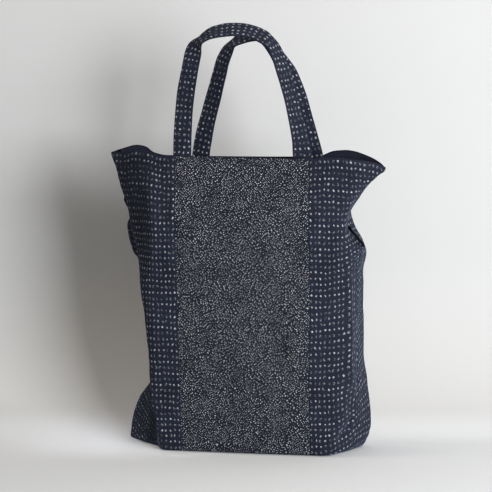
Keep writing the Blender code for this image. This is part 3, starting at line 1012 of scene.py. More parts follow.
@dataclass(frozen=True)
class DottedCloth:
    """Navy cloth with rows of small pale resist-dyed marks, whole ones and open ones in turn.

    A pair is a random number's factor and least value, or the two ends of a soft edge.
    """

    name: str = "dotted_cloth"
    ground: Colour = (0.0082, 0.0098, 0.0190)
    light_ground: Colour = (0.0150, 0.0180, 0.0330)
    # The ground on the reverse, also the dark ground of the painted shade on the face
    dark_ground: Colour = (0.0026, 0.0030, 0.0050)
    mark: Colour = (0.455, 0.47, 0.51)
    column_pitch: float = 0.0059
    row_pitch: float = 0.0076
    half_width: float = 0.00104
    half_length: float = 0.00146
    widths: Pair = (0.55, 0.70)
    lengths: Pair = (0.4, 0.8)
    sway: float = 0.0034
    sway_scale: float = 26.0
    stray_across: float = 0.26
    stray_down: float = 0.16
    turn: float = 1.3
    fray: float = 1.3
    fray_scale: float = 800.0
    slit_share: float = 0.7
    slit_stray: float = 0.5
    slit_edge: Pair = (0.1, 0.4)
    slit_end: Pair = (-0.5, 0.3)
    slit_depth: float = 0.8
    whole_edge: Pair = (0.62, 1.22)
    whole_strength: Pair = (0.45, 0.60)
    ring: float = 0.86
    ring_edge: Pair = (0.10, 0.42)
    ring_strength: Pair = (0.50, 0.25)
    gap_edge: Pair = (0.0, 0.7)
    gap_strength: float = 0.15
    swapped_share: float = 0.16
    wear_scale: float = 22.0
    wear_edge: Pair = (0.25, 0.75)
    worn: float = 0.72
    # How the reverse mark, which also carries painted shade, dims the marks and darkens the ground
    reverse_fade: float = 0.86
    reverse_and_shade_dark: float = 0.75
    streaks: Pair = (0.08, 900.0)
    clouds: tuple[float, ...] = (14.0, 4.0, 0.6)
    tone_weight: float = 0.55
    tone_edge: Pair = (0.42, 0.68)
    rough_scale: float = 300.0
    roughness: Pair = (0.82, 0.95)
    thread: float = 0.00062
    bump: float = 0.00022
    sheen: float = 0.13
    tint: Colour = (0.42, 0.58, 1.0)

    def marks(self, d: Drawing, uv: Value) -> Value:
        """How strongly each place is marked.

        Args:
            d: The material being drawn.
            uv: The cloth's place.

        Returns:
            The marks' strength, 0 to 1.
        """
        x, y, _ = d.split(uv)
        sway = (d.noise(uv, self.sway_scale, 1.0) - 0.5) * self.sway
        column, row = (x + sway) / self.column_pitch, (y + sway) / self.row_pitch
        cell_x, cell_y = column.sum("FLOOR"), row.sum("FLOOR")
        r1, r2, r3 = d.random(d.vector(cell_x, cell_y, 1.5))
        r4, r5, r6 = d.random(d.vector(cell_x, cell_y, 7.5))
        px = (column - cell_x - 0.5 + r1.spread(self.stray_across)) * self.column_pitch
        py = (row - cell_y - 0.5 + r2.spread(self.stray_down)) * self.row_pitch
        angle = r3.spread(self.turn)
        cos, sin = angle.sum("COSINE"), angle.sum("SINE")
        qx, qy = px * cos - py * sin, px * sin + py * cos
        ex = qx / self.half_width / r4.scaled(*self.widths)
        ey = qy / self.half_length / r6.scaled(*self.lengths)
        frayed = (d.noise(uv, self.fray_scale, 2.0) - 0.5) * self.fray
        reach = (ex * ex + ey * ey).sum("SQRT") + frayed
        slit = abs(ex + r2.spread(self.slit_stray)).step(*self.slit_edge, self.slit_depth, 0.0)
        slit = slit * ey.step(*self.slit_end) * r5.sum("GREATER_THAN", 1 - self.slit_share)
        whole = reach.step(*self.whole_edge, 1.0, 0.0) * slit.left() * r3.scaled(*self.whole_strength)
        around = ex.sum("ARCTAN2", ey) + r5 * math.tau
        gap = around.sum("COSINE").step(*self.gap_edge, 1.0, self.gap_strength)
        opened = abs(reach - self.ring).step(*self.ring_edge, 1.0, 0.0) * gap
        opened = opened * r1.scaled(*self.ring_strength)
        odd = (cell_y + 400.0).sum("MODULO", 2.0).sum("LESS_THAN", 0.5)
        swapped = r6.sum("GREATER_THAN", 1 - self.swapped_share)
        inputs = {0: abs(odd - swapped), 2: whole, 3: opened}
        return Value(d, d.node("ShaderNodeMix", inputs, data_type="FLOAT").outputs[0])

    def make(self) -> bpy.types.Material:
        """Draws the cloth.

        Returns:
            The material.
        """
        d = Drawing(self.name)
        uv, reverse = d.uv(), d.reverse()
        wear = d.noise(uv, self.wear_scale, 3.0).step(*self.wear_edge, self.worn, 1.0)
        # Painted shade on the face comes in through the reverse mark: it dims the marks and darkens the
        # ground
        strength = self.marks(d, uv) * ((reverse * self.reverse_fade).left() * wear)
        tone = d.mottle(uv, self.streaks, self.clouds, self.tone_weight, self.tone_edge)
        ground = d.blend(tone, self.ground, self.light_ground)
        ground = d.blend(reverse * self.reverse_and_shade_dark, ground, self.dark_ground)
        rough = d.noise(uv, self.rough_scale, 2.0).step(0.3, 0.7, *self.roughness)
        return d.cloth(d.blend(strength, ground, self.mark), rough, d.weave(uv, self.thread, self.bump),
                       self.sheen, self.tint)


@dataclass(frozen=True)
class SpeckleCloth:
    """Navy cloth with a dense pale speckle that swirls, uneven slubs and darker patches.

    A pair is a random number's factor and least value, or the two ends of a soft edge.
    """

    name: str = "speckle_cloth"
    ground: Colour = (0.0104, 0.0124, 0.0215)
    dark_ground: Colour = (0.0062, 0.0075, 0.0135)
    speck: Colour = (0.87, 0.88, 0.915)
    pitch: float = 0.0027
    unevenness: float = 0.64
    sizes: Pair = (0.14, 0.05)
    swirl: float = 0.013
    swirl_scale: float = 45.0
    turn: float = 0.7
    fray: float = 0.16
    fray_scale: float = 1500.0
    soft_edge: float = 0.09
    patch_scale: float = 30.0
    patch_edge: Pair = (0.28, 0.55)
    patch_strength: Pair = (0.38, 0.62)
    slubs_down: float = 420.0
    slubs_across: float = 340.0
    slub_edge: Pair = (0.15, 0.27)
    slub_strength: float = 0.75
    speck_strength: Pair = (-0.15, 1.0)
    reverse_fade: float = 0.80
    roughness: float = 0.9
    thread: float = 0.00066
    bump: float = 0.00018
    sheen: float = 0.03
    tint: Colour = (0.75, 0.80, 1.0)

    def make(self) -> bpy.types.Material:
        """Draws the cloth.

        Returns:
            The material.
        """
        d = Drawing(self.name)
        uv = d.uv()
        swirls = d.noise(uv, self.swirl_scale, 1.0, output="Color")
        swirled = d.vectors("MULTIPLY_ADD", swirls, (self.swirl, self.swirl, 0.0), uv)
        turned = d.node("ShaderNodeVectorRotate", {"Vector": swirled, "Angle": self.turn},
                        rotation_type="Z_AXIS")
        inputs = {"Vector": turned.outputs[0], "Scale": 1 / self.pitch, "Randomness": self.unevenness}
        cells = d.node("ShaderNodeTexVoronoi", inputs, feature="F1", voronoi_dimensions="2D")
        pick = d.split(cells.outputs["Color"])[0]
        frayed = (d.noise(uv, self.fray_scale, 1.0) - 0.5) * self.fray
        away = Value(d, cells.outputs["Distance"]) + frayed - pick.scaled(*self.sizes)
        specks = away.step(-self.soft_edge, self.soft_edge, 1.0, 0.0)
        patch = d.noise(uv, self.patch_scale, 3.0, 0.6).step(*self.patch_edge)
        slubs = d.threads(uv, (0.07, 1.0), self.slubs_down) * d.threads(uv, (1.0, 0.05), self.slubs_across)
        slubs = slubs.step(*self.slub_edge, self.slub_strength, 1.0)
        power = patch.scaled(*self.patch_strength) * slubs * pick.scaled(*self.speck_strength)
        strength = specks * power * (d.reverse() * self.reverse_fade).left()
        ground = d.blend(patch * slubs, self.dark_ground, self.ground)
        return d.cloth(d.blend(strength, ground, self.speck), self.roughness,
                       d.weave(uv, self.thread, self.bump), self.sheen, self.tint)


@dataclass(frozen=True)
class PlainCloth:
    """A plain dyed cloth with a fine weave."""

    name: str
    ground: Colour
    light_ground: Colour
    thread: float = 0.0006
    sheen: float = 0.12
    tint: Colour = (0.65, 0.72, 1.0)
    streaks: Pair = (0.06, 1100.0)
    clouds: tuple[float, ...] = (20.0, 3.0)
    tone_edge: Pair = (0.40, 0.62)
    roughness: float = 0.9
    bump: float = 0.00020

    def make(self) -> bpy.types.Material:
        """Draws the cloth.

        Returns:
            The material.
        """
        d = Drawing(self.name)
        uv = d.uv()
        tone = d.mottle(uv, self.streaks, self.clouds, 0.5, self.tone_edge)
        colour = d.blend(tone, self.ground, self.light_ground)
        return d.cloth(colour, self.roughness, d.weave(uv, self.thread, self.bump), self.sheen, self.tint)


@dataclass(frozen=True)
class Thread:
    """Twisted sewing thread."""

    name: str = "navy_thread"
    ground: Colour = (0.020, 0.023, 0.040)
    shades: Pair = (0.7, 1.5)
    twist_scale: float = 2600.0
    roughness: float = 0.6
    sheen: float = 0.1
    tint: Colour = (0.8, 0.85, 1.0)

    def make(self) -> bpy.types.Material:
        """Draws the thread.

        Returns:
            The material.
        """
        d = Drawing(self.name)
        dark, light = (tuple(share * c for c in self.ground) for share in self.shades)
        colour = d.blend(d.noise(d.place(), self.twist_scale, 1.0), dark, light)
        return d.cloth(colour, self.roughness, None, self.sheen, self.tint)


@dataclass(frozen=True)
class StudioPaper:
    """Matt pale paper for the floor and the backdrop, seen through from behind."""

    name: str = "studio_paper"
    # Painted light: the floor is lighter than the backdrop, standing in for the light from above that
    # falls on it
    wall: Colour = (0.56, 0.56, 0.56)
    floor: Colour = (0.69, 0.705, 0.725)
    turn_height: float = 0.03
    grain_scale: float = 700.0
    grain: Pair = (0.985, 1.0)
    roughness: float = 0.95
    shine: float = 0.1

    def make(self) -> bpy.types.Material:
        """Draws the paper.

        Returns:
            The material.
        """
        d = Drawing(self.name)
        place = d.place()
        grain = d.noise(place, self.grain_scale, 2.0).step(0.3, 0.7, *self.grain)
        # Painted light: the lighter floor turns into the darker backdrop just above the floor
        shade = d.blend(d.split(place)[2].step(0.0, self.turn_height), self.floor, self.wall)
        grey = d.blend(grain, (0.0, 0.0, 0.0), (1.0, 1.0, 1.0))
        d.finish(Base_Color=d.blend(1.0, shade, grey, "MULTIPLY"), Roughness=self.roughness,
                 Specular_IOR_Level=self.shine)
        behind = d.node("ShaderNodeNewGeometry").outputs["Backfacing"]
        clear = d.node("ShaderNodeBsdfTransparent").outputs[0]
        sides = d.node("ShaderNodeMixShader", (behind, d.surface.outputs[0], clear))
        d.join(d.nodes["Material Output"].inputs["Surface"], sides.outputs[0])
        return d.material


@dataclass
class Wall:
    """The six cloth panels round the side, from their seams to the rolled foot and the rim."""

    shape: BodyShape
    gap: float = 0.0003
    rim_steps: int = 6
    groove: float = 0.0006
    groove_width: float = 0.0012
    allowance: float = 0.0007
    allowance_width: float = 0.007
    allowance_full: float = 0.6
    allowance_from: Pair = (0.042, 0.050)
    allowance_fades: Pair = (0.0, 0.05)
    fold_ends: tuple[float, ...] = (-0.15, 0.3, 0.7, 1.15)
    rim_fade: Pair = (-0.004, 0.012)
    foot_fade: Pair = (0.0, 0.02)
    rim_print: float = 0.0004
    wave: float = 0.00055
    wave_length: float = 0.060
    wrinkle: float = 0.00022
    wrinkle_length: float = 0.018
    seam_fade: float = 0.011
    pucker: float = 0.00016
    pucker_pitch: float = 0.0105
    pucker_reach: float = 0.003
    pucker_drift: float = 2.2
    pucker_drift_length: float = 0.05
    turn_width: float = 0.034
    turn_start: float = 0.3
    turn_fades: float = 0.76
    gather: float = 22.0
    # Painted shade on the front's upper left: how strongly the print dims and the ground darkens, and
    # where
    top_left_shade: float = 0.55
    top_left_shade_share: Pair = (0.58, 0.80)
    top_left_shade_from: Pair = (0.020, 0.050)
    slack: float = 0.36
    slack_share: Pair = (0.66, 0.78)
    level_from: float = 0.74
    # Painted shade in the valley behind the left side, low down and near its seam
    valley: float = 0.95
    valley_share: Pair = (0.18, 0.32)
    valley_reach: Pair = (0.012, 0.046)

    def __post_init__(self) -> None:
        """Draws the whole shell once."""
        shape = self.shape
        share = shape.shares()
        foot, foot_out = shape.foot()
        self.grid = np.concatenate([foot, shape.levels(share)])
        self.share = np.concatenate([np.zeros(shape.foot_steps), share])
        self.down = run_along(self.grid[::-1], 0)[::-1]
        self.relief = np.zeros(self.grid.shape[:2])
        self.spans = self.panel_spans()
        for panel in Panel:
            self.add_relief(panel)
        lifted = self.grid + shape.normals(self.grid) * self.relief[..., None]
        self.turn_away(lifted, self.share)
        self.grid = lifted
        self.out = shape.normals(lifted)
        self.out[:shape.foot_steps] = foot_out
        self.out[-1, :, 2] = 0
        self.out[-1] = unit(self.out[-1])

    def panel_spans(self) -> dict[Panel, tuple[int, int]]:
        """The first and last column of each panel.

        Returns:
            The columns by panel.
        """
        quarter, half, all_round = self.shape.quarter, self.shape.half_panel_steps, self.shape.columns
        return {
            Panel.FRONT_CENTRE: (-half, half),
            Panel.FRONT_RIGHT: (half, quarter),
            Panel.BACK_RIGHT: (quarter, 2 * quarter - half),
            Panel.BACK_CENTRE: (2 * quarter - half, 2 * quarter + half),
            Panel.BACK_LEFT: (2 * quarter + half, 3 * quarter),
            Panel.FRONT_LEFT: (3 * quarter, all_round - half),
        }

    def columns_of(self, panel: Panel) -> np.ndarray:
        """The columns of a panel, seams included."""
        first, last = self.spans[panel]
        return np.arange(first, last + 1) % self.shape.columns

    def cloth_places(self, panel: Panel) -> tuple[np.ndarray, np.ndarray]:
        """Where each point of a panel lies on the flat cloth.

        Args:
            panel: The panel.

        Returns:
            Its distance from the centre seam, or from the middle on a centre panel, and its
            distance below the rim.
        """
        columns = self.columns_of(panel)
        around = run_along(self.grid[:, columns], 1)
        total = around[:, -1:]
        if panel.centre:
            u = around - total / 2
        elif panel in (Panel.FRONT_RIGHT, Panel.BACK_LEFT):
            u = around
        else:
            u = total - around
        return u, self.down[:, columns]

    def add_relief(self, panel: Panel) -> None:
        """Gives a panel its soft folds, waves and puckers, which fade at its seams.

        Args:
            panel: The panel.
        """
        columns = self.columns_of(panel)
        u, v = self.cloth_places(panel)
        around = run_along(self.grid[:, columns], 1)
        edge = np.minimum(around, around[:, -1:] - around)
        seed = list(Panel).index(panel)
        height = self.wave * ripples(u, v, self.wave_length, WAVE_SEED + seed)
        height = height + self.wrinkle * ripples(u, v, self.wrinkle_length, WRINKLE_SEED + seed)
        for u0, v0, u1, v1, width, rise in zip(*SIDE_FOLDS.get(panel.value, {}).values()):
            along = np.array([u1 - u0, v1 - v0])
            length = np.linalg.norm(along)
            along = along / length
            t = ((u - u0) * along[0] + (v - v0) * along[1]) / length
            off = (u - u0) * along[1] - (v - v0) * along[0]
            taper = step_up(*self.fold_ends[:2], t) * (1 - step_up(*self.fold_ends[2:], t))
            height = height + rise * taper * np.exp(-(off / width)**2)
        height = height * step_up(0, self.seam_fade, edge)
        drift = self.pucker_drift * ripples(u, v, self.pucker_drift_length, PUCKER_SEED + seed)
        pucker = np.sin(math.tau * v / self.pucker_pitch + drift)
        near = edge / self.pucker_reach
        height = height + self.pucker * pucker * near * np.exp(1 - near)
        height = height * step_up(*self.rim_fade, v) * step_up(*self.foot_fade, self.share)[:, None]
        self.relief[:, columns] = height

    def turn_away(self, points: np.ndarray, share: np.ndarray) -> None:
        """Lets the outer half of the front's left side fall back, as it hangs from its fold.

        Args:
            points: Points of the shell, or of a band inside it, moved in place.
            share: The share of the cloth's height of each row.
        """
        columns = self.columns_of(Panel.FRONT_LEFT)
        around = run_along(points[:, columns], 1)
        u, reach = around[:, -1:] - around, around[:, -1:]
        deep, starts, lean = (read(LEFT_TURN, name, share)[:, None]
                              for name in ("back", "from_seam", "lean"))
        fade = 1 - step_up(0, 1, (u - self.turn_fades * reach) / ((1 - self.turn_fades) * reach))
        turned = np.maximum(0, (u - starts) / self.turn_width)
        turned = np.where(turned < self.turn_start, turned**2 / (2 * self.turn_start),
                          turned - self.turn_start / 2)
        points[:, columns, 1] += (deep * turned + lean * u * step_up(0, 0.02, u)) * fade

    def gathered(self, u: np.ndarray) -> np.ndarray:
        """How much more cloth the front's left side takes up, where its outer half falls back.

        Args:
            u: The distance from the centre seam.

        Returns:
            The distance at each point, in metres.
        """
        deep, starts = (read(LEFT_TURN, name, self.share)[:, None] for name in ("back", "from_seam"))
        return self.gather * deep * np.maximum(0, u - starts)

    def climb(self) -> np.ndarray:
        """How far the rows of marks climb at each point of the shell.

        Returns:
            The distance at each point, in metres.
        """
        quarter, shape = self.shape.quarter, self.shape
        flat = shape.half_panel_steps + 4 * shape.side_steps // 5
        fold = shape.half_panel_steps + shape.side_steps + shape.fold_steps // 2
        knots = {
            0: None, flat: None, fold: Crease.FRONT_RIGHT, quarter: Crease.RIGHT,
            2 * quarter - fold: Crease.BACK_RIGHT, 2 * quarter - flat: None,
            2 * quarter + flat: None, 2 * quarter + fold: Crease.BACK_LEFT, 3 * quarter: Crease.LEFT,
            4 * quarter - fold: Crease.FRONT_LEFT, 4 * quarter - flat: None, 4 * quarter: None,
        }
        at = np.arange(shape.columns)
        rows = []
        for share in self.share:
            values = [0.0 if which is None else float(read(CLIMB, which.value, np.array([share]))[0])
                      for which in knots.values()]
            rows.append(smooth(np.array(list(knots), float), np.array(values), at))
        return np.array(rows)

    def levelled(self, columns: np.ndarray) -> np.ndarray:
        """How much nearer to level than to the rim the rows of marks are, further down.

        Args:
            columns: The columns wanted.

        Returns:
            The distance at each point, in metres.
        """
        further = self.down[:, columns] - self.down[:, :1]
        return further * (1 - step_up(self.level_from, 1.0, self.share))[:, None]

    def printed(self, panel: Panel, climb: np.ndarray) -> tuple[np.ndarray, np.ndarray]:
        """Where each point of a panel lies among the rows and columns of marks.

        Args:
            panel: The panel.
            climb: How far the rows of marks climb over the shell.

        Returns:
            The places across and down the printed cloth.
        """
        u, v = self.cloth_places(panel)
        if panel is Panel.FRONT_LEFT:
            u = u + self.gathered(u)
        if panel is Panel.FRONT_RIGHT:
            fold = self.shape.side_steps + self.shape.fold_steps // 2
            past = np.maximum(0, u - u[:, fold:fold + 1])
            u = u - self.slack * past * (1 - step_up(*self.slack_share, self.share))[:, None]
        columns = self.columns_of(panel)
        return u, v + climb[:, columns] - self.levelled(columns)

    def painted_shade(self, panel: Panel, u: np.ndarray) -> np.ndarray:
        """Painted shade on the front's upper left and in the valley behind it.

        Args:
            panel: The panel.
            u: The places across the printed cloth.

        Returns:
            The painted shade at each point, where 1 dims the print and darkens the ground as on the
            reverse.
        """
        share = self.share[:, None]
        if panel is Panel.FRONT_LEFT:
            return self.top_left_shade * step_up(*self.top_left_shade_share, share) * step_up(*self.top_left_shade_from, u)
        if panel is Panel.BACK_LEFT:
            near_seam = 1 - step_up(*self.valley_reach, u[:, -1:] - u)
            return self.valley * (1 - step_up(*self.valley_share, share)) * near_seam
        return np.zeros(u.shape)

    def edge_faces(self, rows: int, count: int) -> list:
        """The faces that close a panel along its two seams.

        Args:
            rows: How many rows its face has.
            count: How many columns it has.

        Returns:
            The faces as lists of point numbers.
        """
        last_row, end, faces = 2 * rows + self.rim_steps - 2, count - 1, []
        for r in range(rows - 1):
            o0, o1 = r * count, (r + 1) * count
            i0, i1 = (last_row - r) * count, (last_row - r - 1) * count
            faces.append([o0, o1, i1, i0])
            faces.append([o0 + end, i0 + end, i1 + end, o1 + end])
        lip = [k * count for k in range(rows - 1, rows + self.rim_steps)]
        return faces + [lip, [k + end for k in reversed(lip)]]

    def panel(self, panel: Panel, climb: np.ndarray) -> Weave:
        """The closed mesh of one panel: face, rim, reverse and seam edges.

        Args:
            panel: The panel.
            climb: How far the rows of marks climb over the shell.

        Returns:
            The mesh's points and faces.
        """
        columns = self.columns_of(panel)
        grid, out = self.grid[:, columns].copy(), self.out[:, columns]
        around = run_along(grid, 1)
        edge = np.minimum(around, around[:, -1:] - around)
        below_rim = self.down[:, columns]
        for side, near in ((0, 1), (-1, -2)):
            grid[:, side] += unit(grid[:, near] - grid[:, side]) * self.gap / 2
        sunk = self.groove * np.exp(-(edge / self.groove_width)**2)
        below = step_up(*self.allowance_from, below_rim)
        below = below * step_up(*self.allowance_fades, self.share)[:, None]
        in_seam = 1 - step_up(self.allowance_full * self.allowance_width, self.allowance_width, edge)
        thick = self.shape.wall + self.allowance * below * in_seam
        outer = grid - out * sunk[..., None]
        inner = grid - out * thick[..., None]
        middle, half = (outer[-1] + inner[-1]) / 2, (outer[-1] - inner[-1]) / 2
        reach = np.linalg.norm(half, axis=1, keepdims=True) * np.array([0, 0, 1.0])
        angles = [math.pi * k / self.rim_steps for k in range(1, self.rim_steps)]
        arc = np.array([middle + half * math.cos(a) + reach * math.sin(a) for a in angles])
        ring = np.concatenate([outer, arc, inner[::-1]])
        rows, count = len(outer), len(columns)
        u, v = self.printed(panel, climb)
        over = -self.rim_print * np.arange(1, self.rim_steps)[:, None] * np.ones((1, count))
        u_rows = np.concatenate([u, np.repeat(u[-1:], self.rim_steps - 1, axis=0), u[::-1]])
        v_rows = np.concatenate([v, v[-1:] + over, v[::-1]])
        # The face's mark holds the painted shade, which the cloth reads as it reads its reverse
        face, lip = self.painted_shade(panel, u), self.rim_steps // 2
        reverse = np.concatenate([face, np.repeat(face[-1:], lip, axis=0),
                                  np.ones((len(ring) - rows - lip, count))])
        faces = grid_faces(len(ring), count, True) + self.edge_faces(rows, count)
        return Weave(ring, np.stack([u_rows, v_rows], axis=-1), reverse, faces)

    def build(self, cloths: dict[str, bpy.types.Material]) -> list[bpy.types.Object]:
        """Args:
            cloths: The materials by slot.

        Returns:
            The pieces.
        """
        climb = self.climb()
        made = []
        for panel in Panel:
            slot = "speckle_cloth" if panel.centre else "dotted_cloth"
            weave = self.panel(panel, climb)
            piece = weave.piece(panel.value.replace("panel", "cloth"), cloths[slot])
            u, v = self.cloth_places(panel)
            made.append(dress(piece, panel.value))
        return made


def dress(piece: bpy.types.Object, node: str | None) -> bpy.types.Object:
    """Sets a piece on the bag's body.

    Args:
        piece: The finished piece.
        node: The solid that it stands for, if any.

    Returns:
        The piece.
    """
    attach(piece, "root")
    if node is not None:
        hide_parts(node)
    LOG.info("%s: %d faces", piece.name, len(piece.data.polygons))
    return piece


@dataclass
class Facing:
    """The plain band inside the mouth, which passes each tip in a soft turn."""

    wall: Wall
    height: float = 0.040
    thickness: float = 0.0008
    set_down: float = 0.0012
    gap: float = 0.0006
    tip_clearance: float = 0.012
    tip_ease: float = 0.015
    rows: int = 26

    def build(self, cloth: bpy.types.Material) -> bpy.types.Object:
        """Makes the band.

        Args:
            cloth: Its material.

        Returns:
            The piece.
        """
        shape = self.wall.shape
        top = 1 - self.set_down / shape.height
        share = np.linspace(top - self.height / shape.height, top, self.rows)
        band = shape.levels(share, tip_clearance=self.tip_clearance, seam_ease=self.tip_ease)
        wall_share = self.wall.share[shape.foot_steps:]
        relief = self.wall.relief[shape.foot_steps:]
        k = np.clip(np.searchsorted(wall_share, share), 1, len(wall_share) - 1)
        t = ((share - wall_share[k - 1]) / (wall_share[k] - wall_share[k - 1]))[:, None]
        band = band + shape.normals(band) * (relief[k - 1] * (1 - t) + relief[k] * t)[..., None]
        self.wall.turn_away(band, share)
        out = shape.normals(band)
        outer = band - out * (shape.wall + self.gap)
        inner = outer - out * self.thickness
        middle = (outer[-1] + inner[-1]) / 2 + (0, 0, self.thickness / 2)
        ring = np.concatenate([outer, middle[None], inner[::-1]])
        ring = np.concatenate([ring, ring[:, :1]], axis=1)
        u = run_along(ring[len(outer) - 1][None], 1)[0]
        u_rows = np.repeat(u[None], len(ring), axis=0)
        v = np.linspace(self.height, 0, self.rows)
        v_rows = np.concatenate([v, [-self.thickness / 2], v[::-1]])[:, None] * np.ones((1, len(u)))
        weave = Weave(ring, np.stack([u_rows, v_rows], axis=-1), np.zeros(u_rows.shape),
                      grid_faces(*ring.shape[:2], True))
        piece = weave.piece("mouth_facing_cloth", cloth)
        return dress(piece, "mouth_facing")


@dataclass
class Base:
    """The flat bottom, just inside the cloth that rolls under.

    Its edge is drawn by lifts and insets, which are shares of the thickness.
    """

    shape: BodyShape
    thickness: float = 0.0018
    gap: float = 0.0003
    lifts: tuple[float, ...] = (0.0, 0.35, 0.75, 0.95, 1.0)
    insets: tuple[float, ...] = (0.0, 0.0, 0.05, 0.25, 0.60)
    reverse: tuple[float, ...] = (0.0, 0.0, 0.0, 1.0, 1.0)
    near_floor: float = 0.02

    def build(self, cloth: bpy.types.Material) -> bpy.types.Object:
        """Makes the bottom, with a soft edge round its inside.

        Args:
            cloth: Its material.

        Returns:
            The piece.
        """
        edge = self.shape.foot()[0][0]
        out = self.shape.normals(self.shape.levels(np.array([0.0, self.near_floor])))[0]
        out = unit(out * (1, 1, 0))
        edge = edge - out * self.gap
        ring = np.stack([edge - out * (self.thickness * inset) + (0, 0, self.thickness * lift)
                         for inset, lift in zip(self.insets, self.lifts)])
        ring = np.concatenate([ring, ring[:, :1]], axis=1)
        weave = Weave.tube(ring, ring[..., :2], np.array(self.reverse)[:, None])
        piece = weave.piece("base_cloth", cloth)
        low, high = edge.min(axis=0), edge.max(axis=0)
        flat = (round(float(high[0] - low[0]), 3), round(float(high[1] - low[1]), 3))
        x, y = edge[:, 0], edge[:, 1]
        area = abs(float(np.sum(x * np.roll(y, -1) - np.roll(x, -1) * y))) / 2
        return dress(piece, "base_panel")


@dataclass
class Handle:
    """One strap of folded cloth, from one sewn end over the top to the other."""

    wall: Wall
    name: str
    rows: Columns
    side: int
    width: float = 0.024
    thickness: float = 0.0024
    rise: float = 0.168
    sewn: float = 0.034
    seat_gap: float = 0.0007
    facing_layers: float = 0.0014
    steps: int = 420
    curve_steps: int = 40
    stitch_inset: float = 0.0022
    stitch_groove: float = 0.00022
    groove_width: float = 0.03
    flat_places: tuple[float, ...] = (0.0, 0.2, 0.4, 0.6, 0.72)
    edge_places: tuple[float, ...] = (0.88, 0.93, 0.965, 0.99)
    roundness: float = 0.96
    tilt_window: int = 9
    sway: float = 0.022
    sway_length: float = 0.07
    dent: float = 0.00022
    dent_length: float = 0.02
    other_face: float = 0.1

    def face_depth(self, across: float, share: float) -> float:
        """Depth of the outside of the wall behind a place across it.

        Args:
            across: The place across the bag.
            share: The share of the cloth's height.

        Returns:
            The depth, in metres.
        """
        shape = self.wall.shape
        points = shape.levels(np.array([share]))[0]
        reach = shape.half_panel_steps + shape.side_steps
        first = 0 if self.side < 0 else 2 * shape.quarter
        at = [(first + k) % shape.columns for k in range(-reach, reach + 1)]
        order = np.argsort(points[at, 0])
        return float(np.interp(across, points[at, 0][order], points[at, 1][order]))

    def seat_depth(self, across: float, share: float) -> float:
        """Depth of the strap's middle where it lies on the facing.

        Args:
            across: The place across the bag.
            share: The share of the cloth's height.

        Returns:
            The depth, in metres.
        """
        low = 1 - self.sewn / self.wall.shape.height
        lean = self.face_depth(across, 1.0) - self.face_depth(across, low)
        slant = math.hypot(1, lean / self.sewn)
        layers = self.wall.shape.wall + self.facing_layers + self.seat_gap + self.thickness / 2
        return self.face_depth(across, share) - self.side * layers * slant

    def path(self) -> tuple[np.ndarray, np.ndarray]:
        """The points that the strap passes through, and its tilt at each.

        Returns:
            The points, from end to end, and the tilts in degrees.
        """
        shape = self.wall.shape
        across = shape.half_width * self.rows["across"] - shape.middle_x
        depth = self.width * self.rows["depth"] - shape.middle_y
        points = [tuple(p) for p in zip(across, depth, shape.height + self.rise * self.rows["height"])]
        tilts = list(self.rows["tilt"])
        for end in (0, -1):
            x = points[end][0]
            points[end] = (x, self.seat_depth(x, 1.0), shape.height)
            ends = []
            for part in (1.0, 0.5):
                share = 1 - part * self.sewn / shape.height
                ends.append((x, self.seat_depth(x, share), share * shape.height))
            points, tilts = ((ends + points, [0, 0] + tilts) if end == 0
                             else (points + ends[::-1], tilts + [0, 0]))
        return np.array(points), np.array(tilts, float)

    def through(self, points: np.ndarray) -> tuple[np.ndarray, np.ndarray]:
        """Even steps along a smooth curve.

        Args:
            points: The points that it passes through.

        Returns:
            The steps' points, and where each lies between the given points.
        """
        knots = np.concatenate([[0], np.cumsum(np.linalg.norm(np.diff(points, axis=0), axis=1)**0.5)])
        padded = np.vstack([2 * points[0] - points[1], points, 2 * points[-1] - points[-2]])
        knot = np.concatenate([[knots[0] - knots[1]], knots, [2 * knots[-1] - knots[-2]]])
        fine, places = [], []
        for k in range(1, len(points)):
            near, at = list(padded[k - 1:k + 3]), knot[k - 1:k + 3]
            t = np.linspace(at[1], at[2], self.curve_steps, endpoint=False)[:, None]
            for span in (1, 2):
                near = [blended(near[i:i + 2], at[i], at[i + span], t) for i in range(len(near) - 1)]
            fine.append(blended(near, at[1], at[2], t))
            places.append(k - 1 + (t[:, 0] - at[1]) / (at[2] - at[1]))
        fine = np.concatenate(fine + [points[-1:]])
        places = np.concatenate(places + [[len(points) - 1]])
        run = np.concatenate([[0], np.cumsum(np.linalg.norm(np.diff(fine, axis=0), axis=1))])
        even = np.linspace(0, run[-1], self.steps + 1)
        line = np.column_stack([np.interp(even, run, fine[:, k]) for k in range(3)])
        return line, np.interp(even, run, places)

    def frame(self) -> None:
        """Works out the strap's line, its width's direction and its face's direction."""
        points, tilts = self.path()
        self.line, places = self.through(points)
        tilt = np.radians(np.interp(places, range(len(tilts)), tilts))
        window = np.hanning(self.tilt_window)
        window /= window.sum()
        padded = np.pad(tilt, self.tilt_window // 2, mode="edge")
        tilt = np.convolve(padded, window, mode="valid")
        along = unit(np.gradient(self.line, axis=0))
        depthwise = np.array([0.0, 1.0, 0.0])
        outside = unit(np.cross(along, depthwise))
        across = np.cos(tilt)[:, None] * outside + np.sin(tilt)[:, None] * depthwise
        self.across = unit(across - along * np.sum(across * along, axis=1, keepdims=True))
        self.face = np.cross(along, self.across)

    def profile(self) -> np.ndarray:
        """Half of the strap's cross-section.

        Returns:
            Places as shares of the half width, and the height at each.
        """
        half, edge = self.width / 2, self.thickness / 2
        groove, wide = 1 - self.stitch_inset / half, self.groove_width
        at = np.array([*self.flat_places, groove - wide, groove, groove + wide, *self.edge_places])
        high = np.full(len(at), edge)
        high -= self.stitch_groove * np.exp(-((at - groove) / wide)**2)
        out = np.clip((at * half - (half - edge)) / edge, 0, 1)
        high *= np.sqrt(1 - out**2 * self.roundness)
        return np.column_stack([at, high])

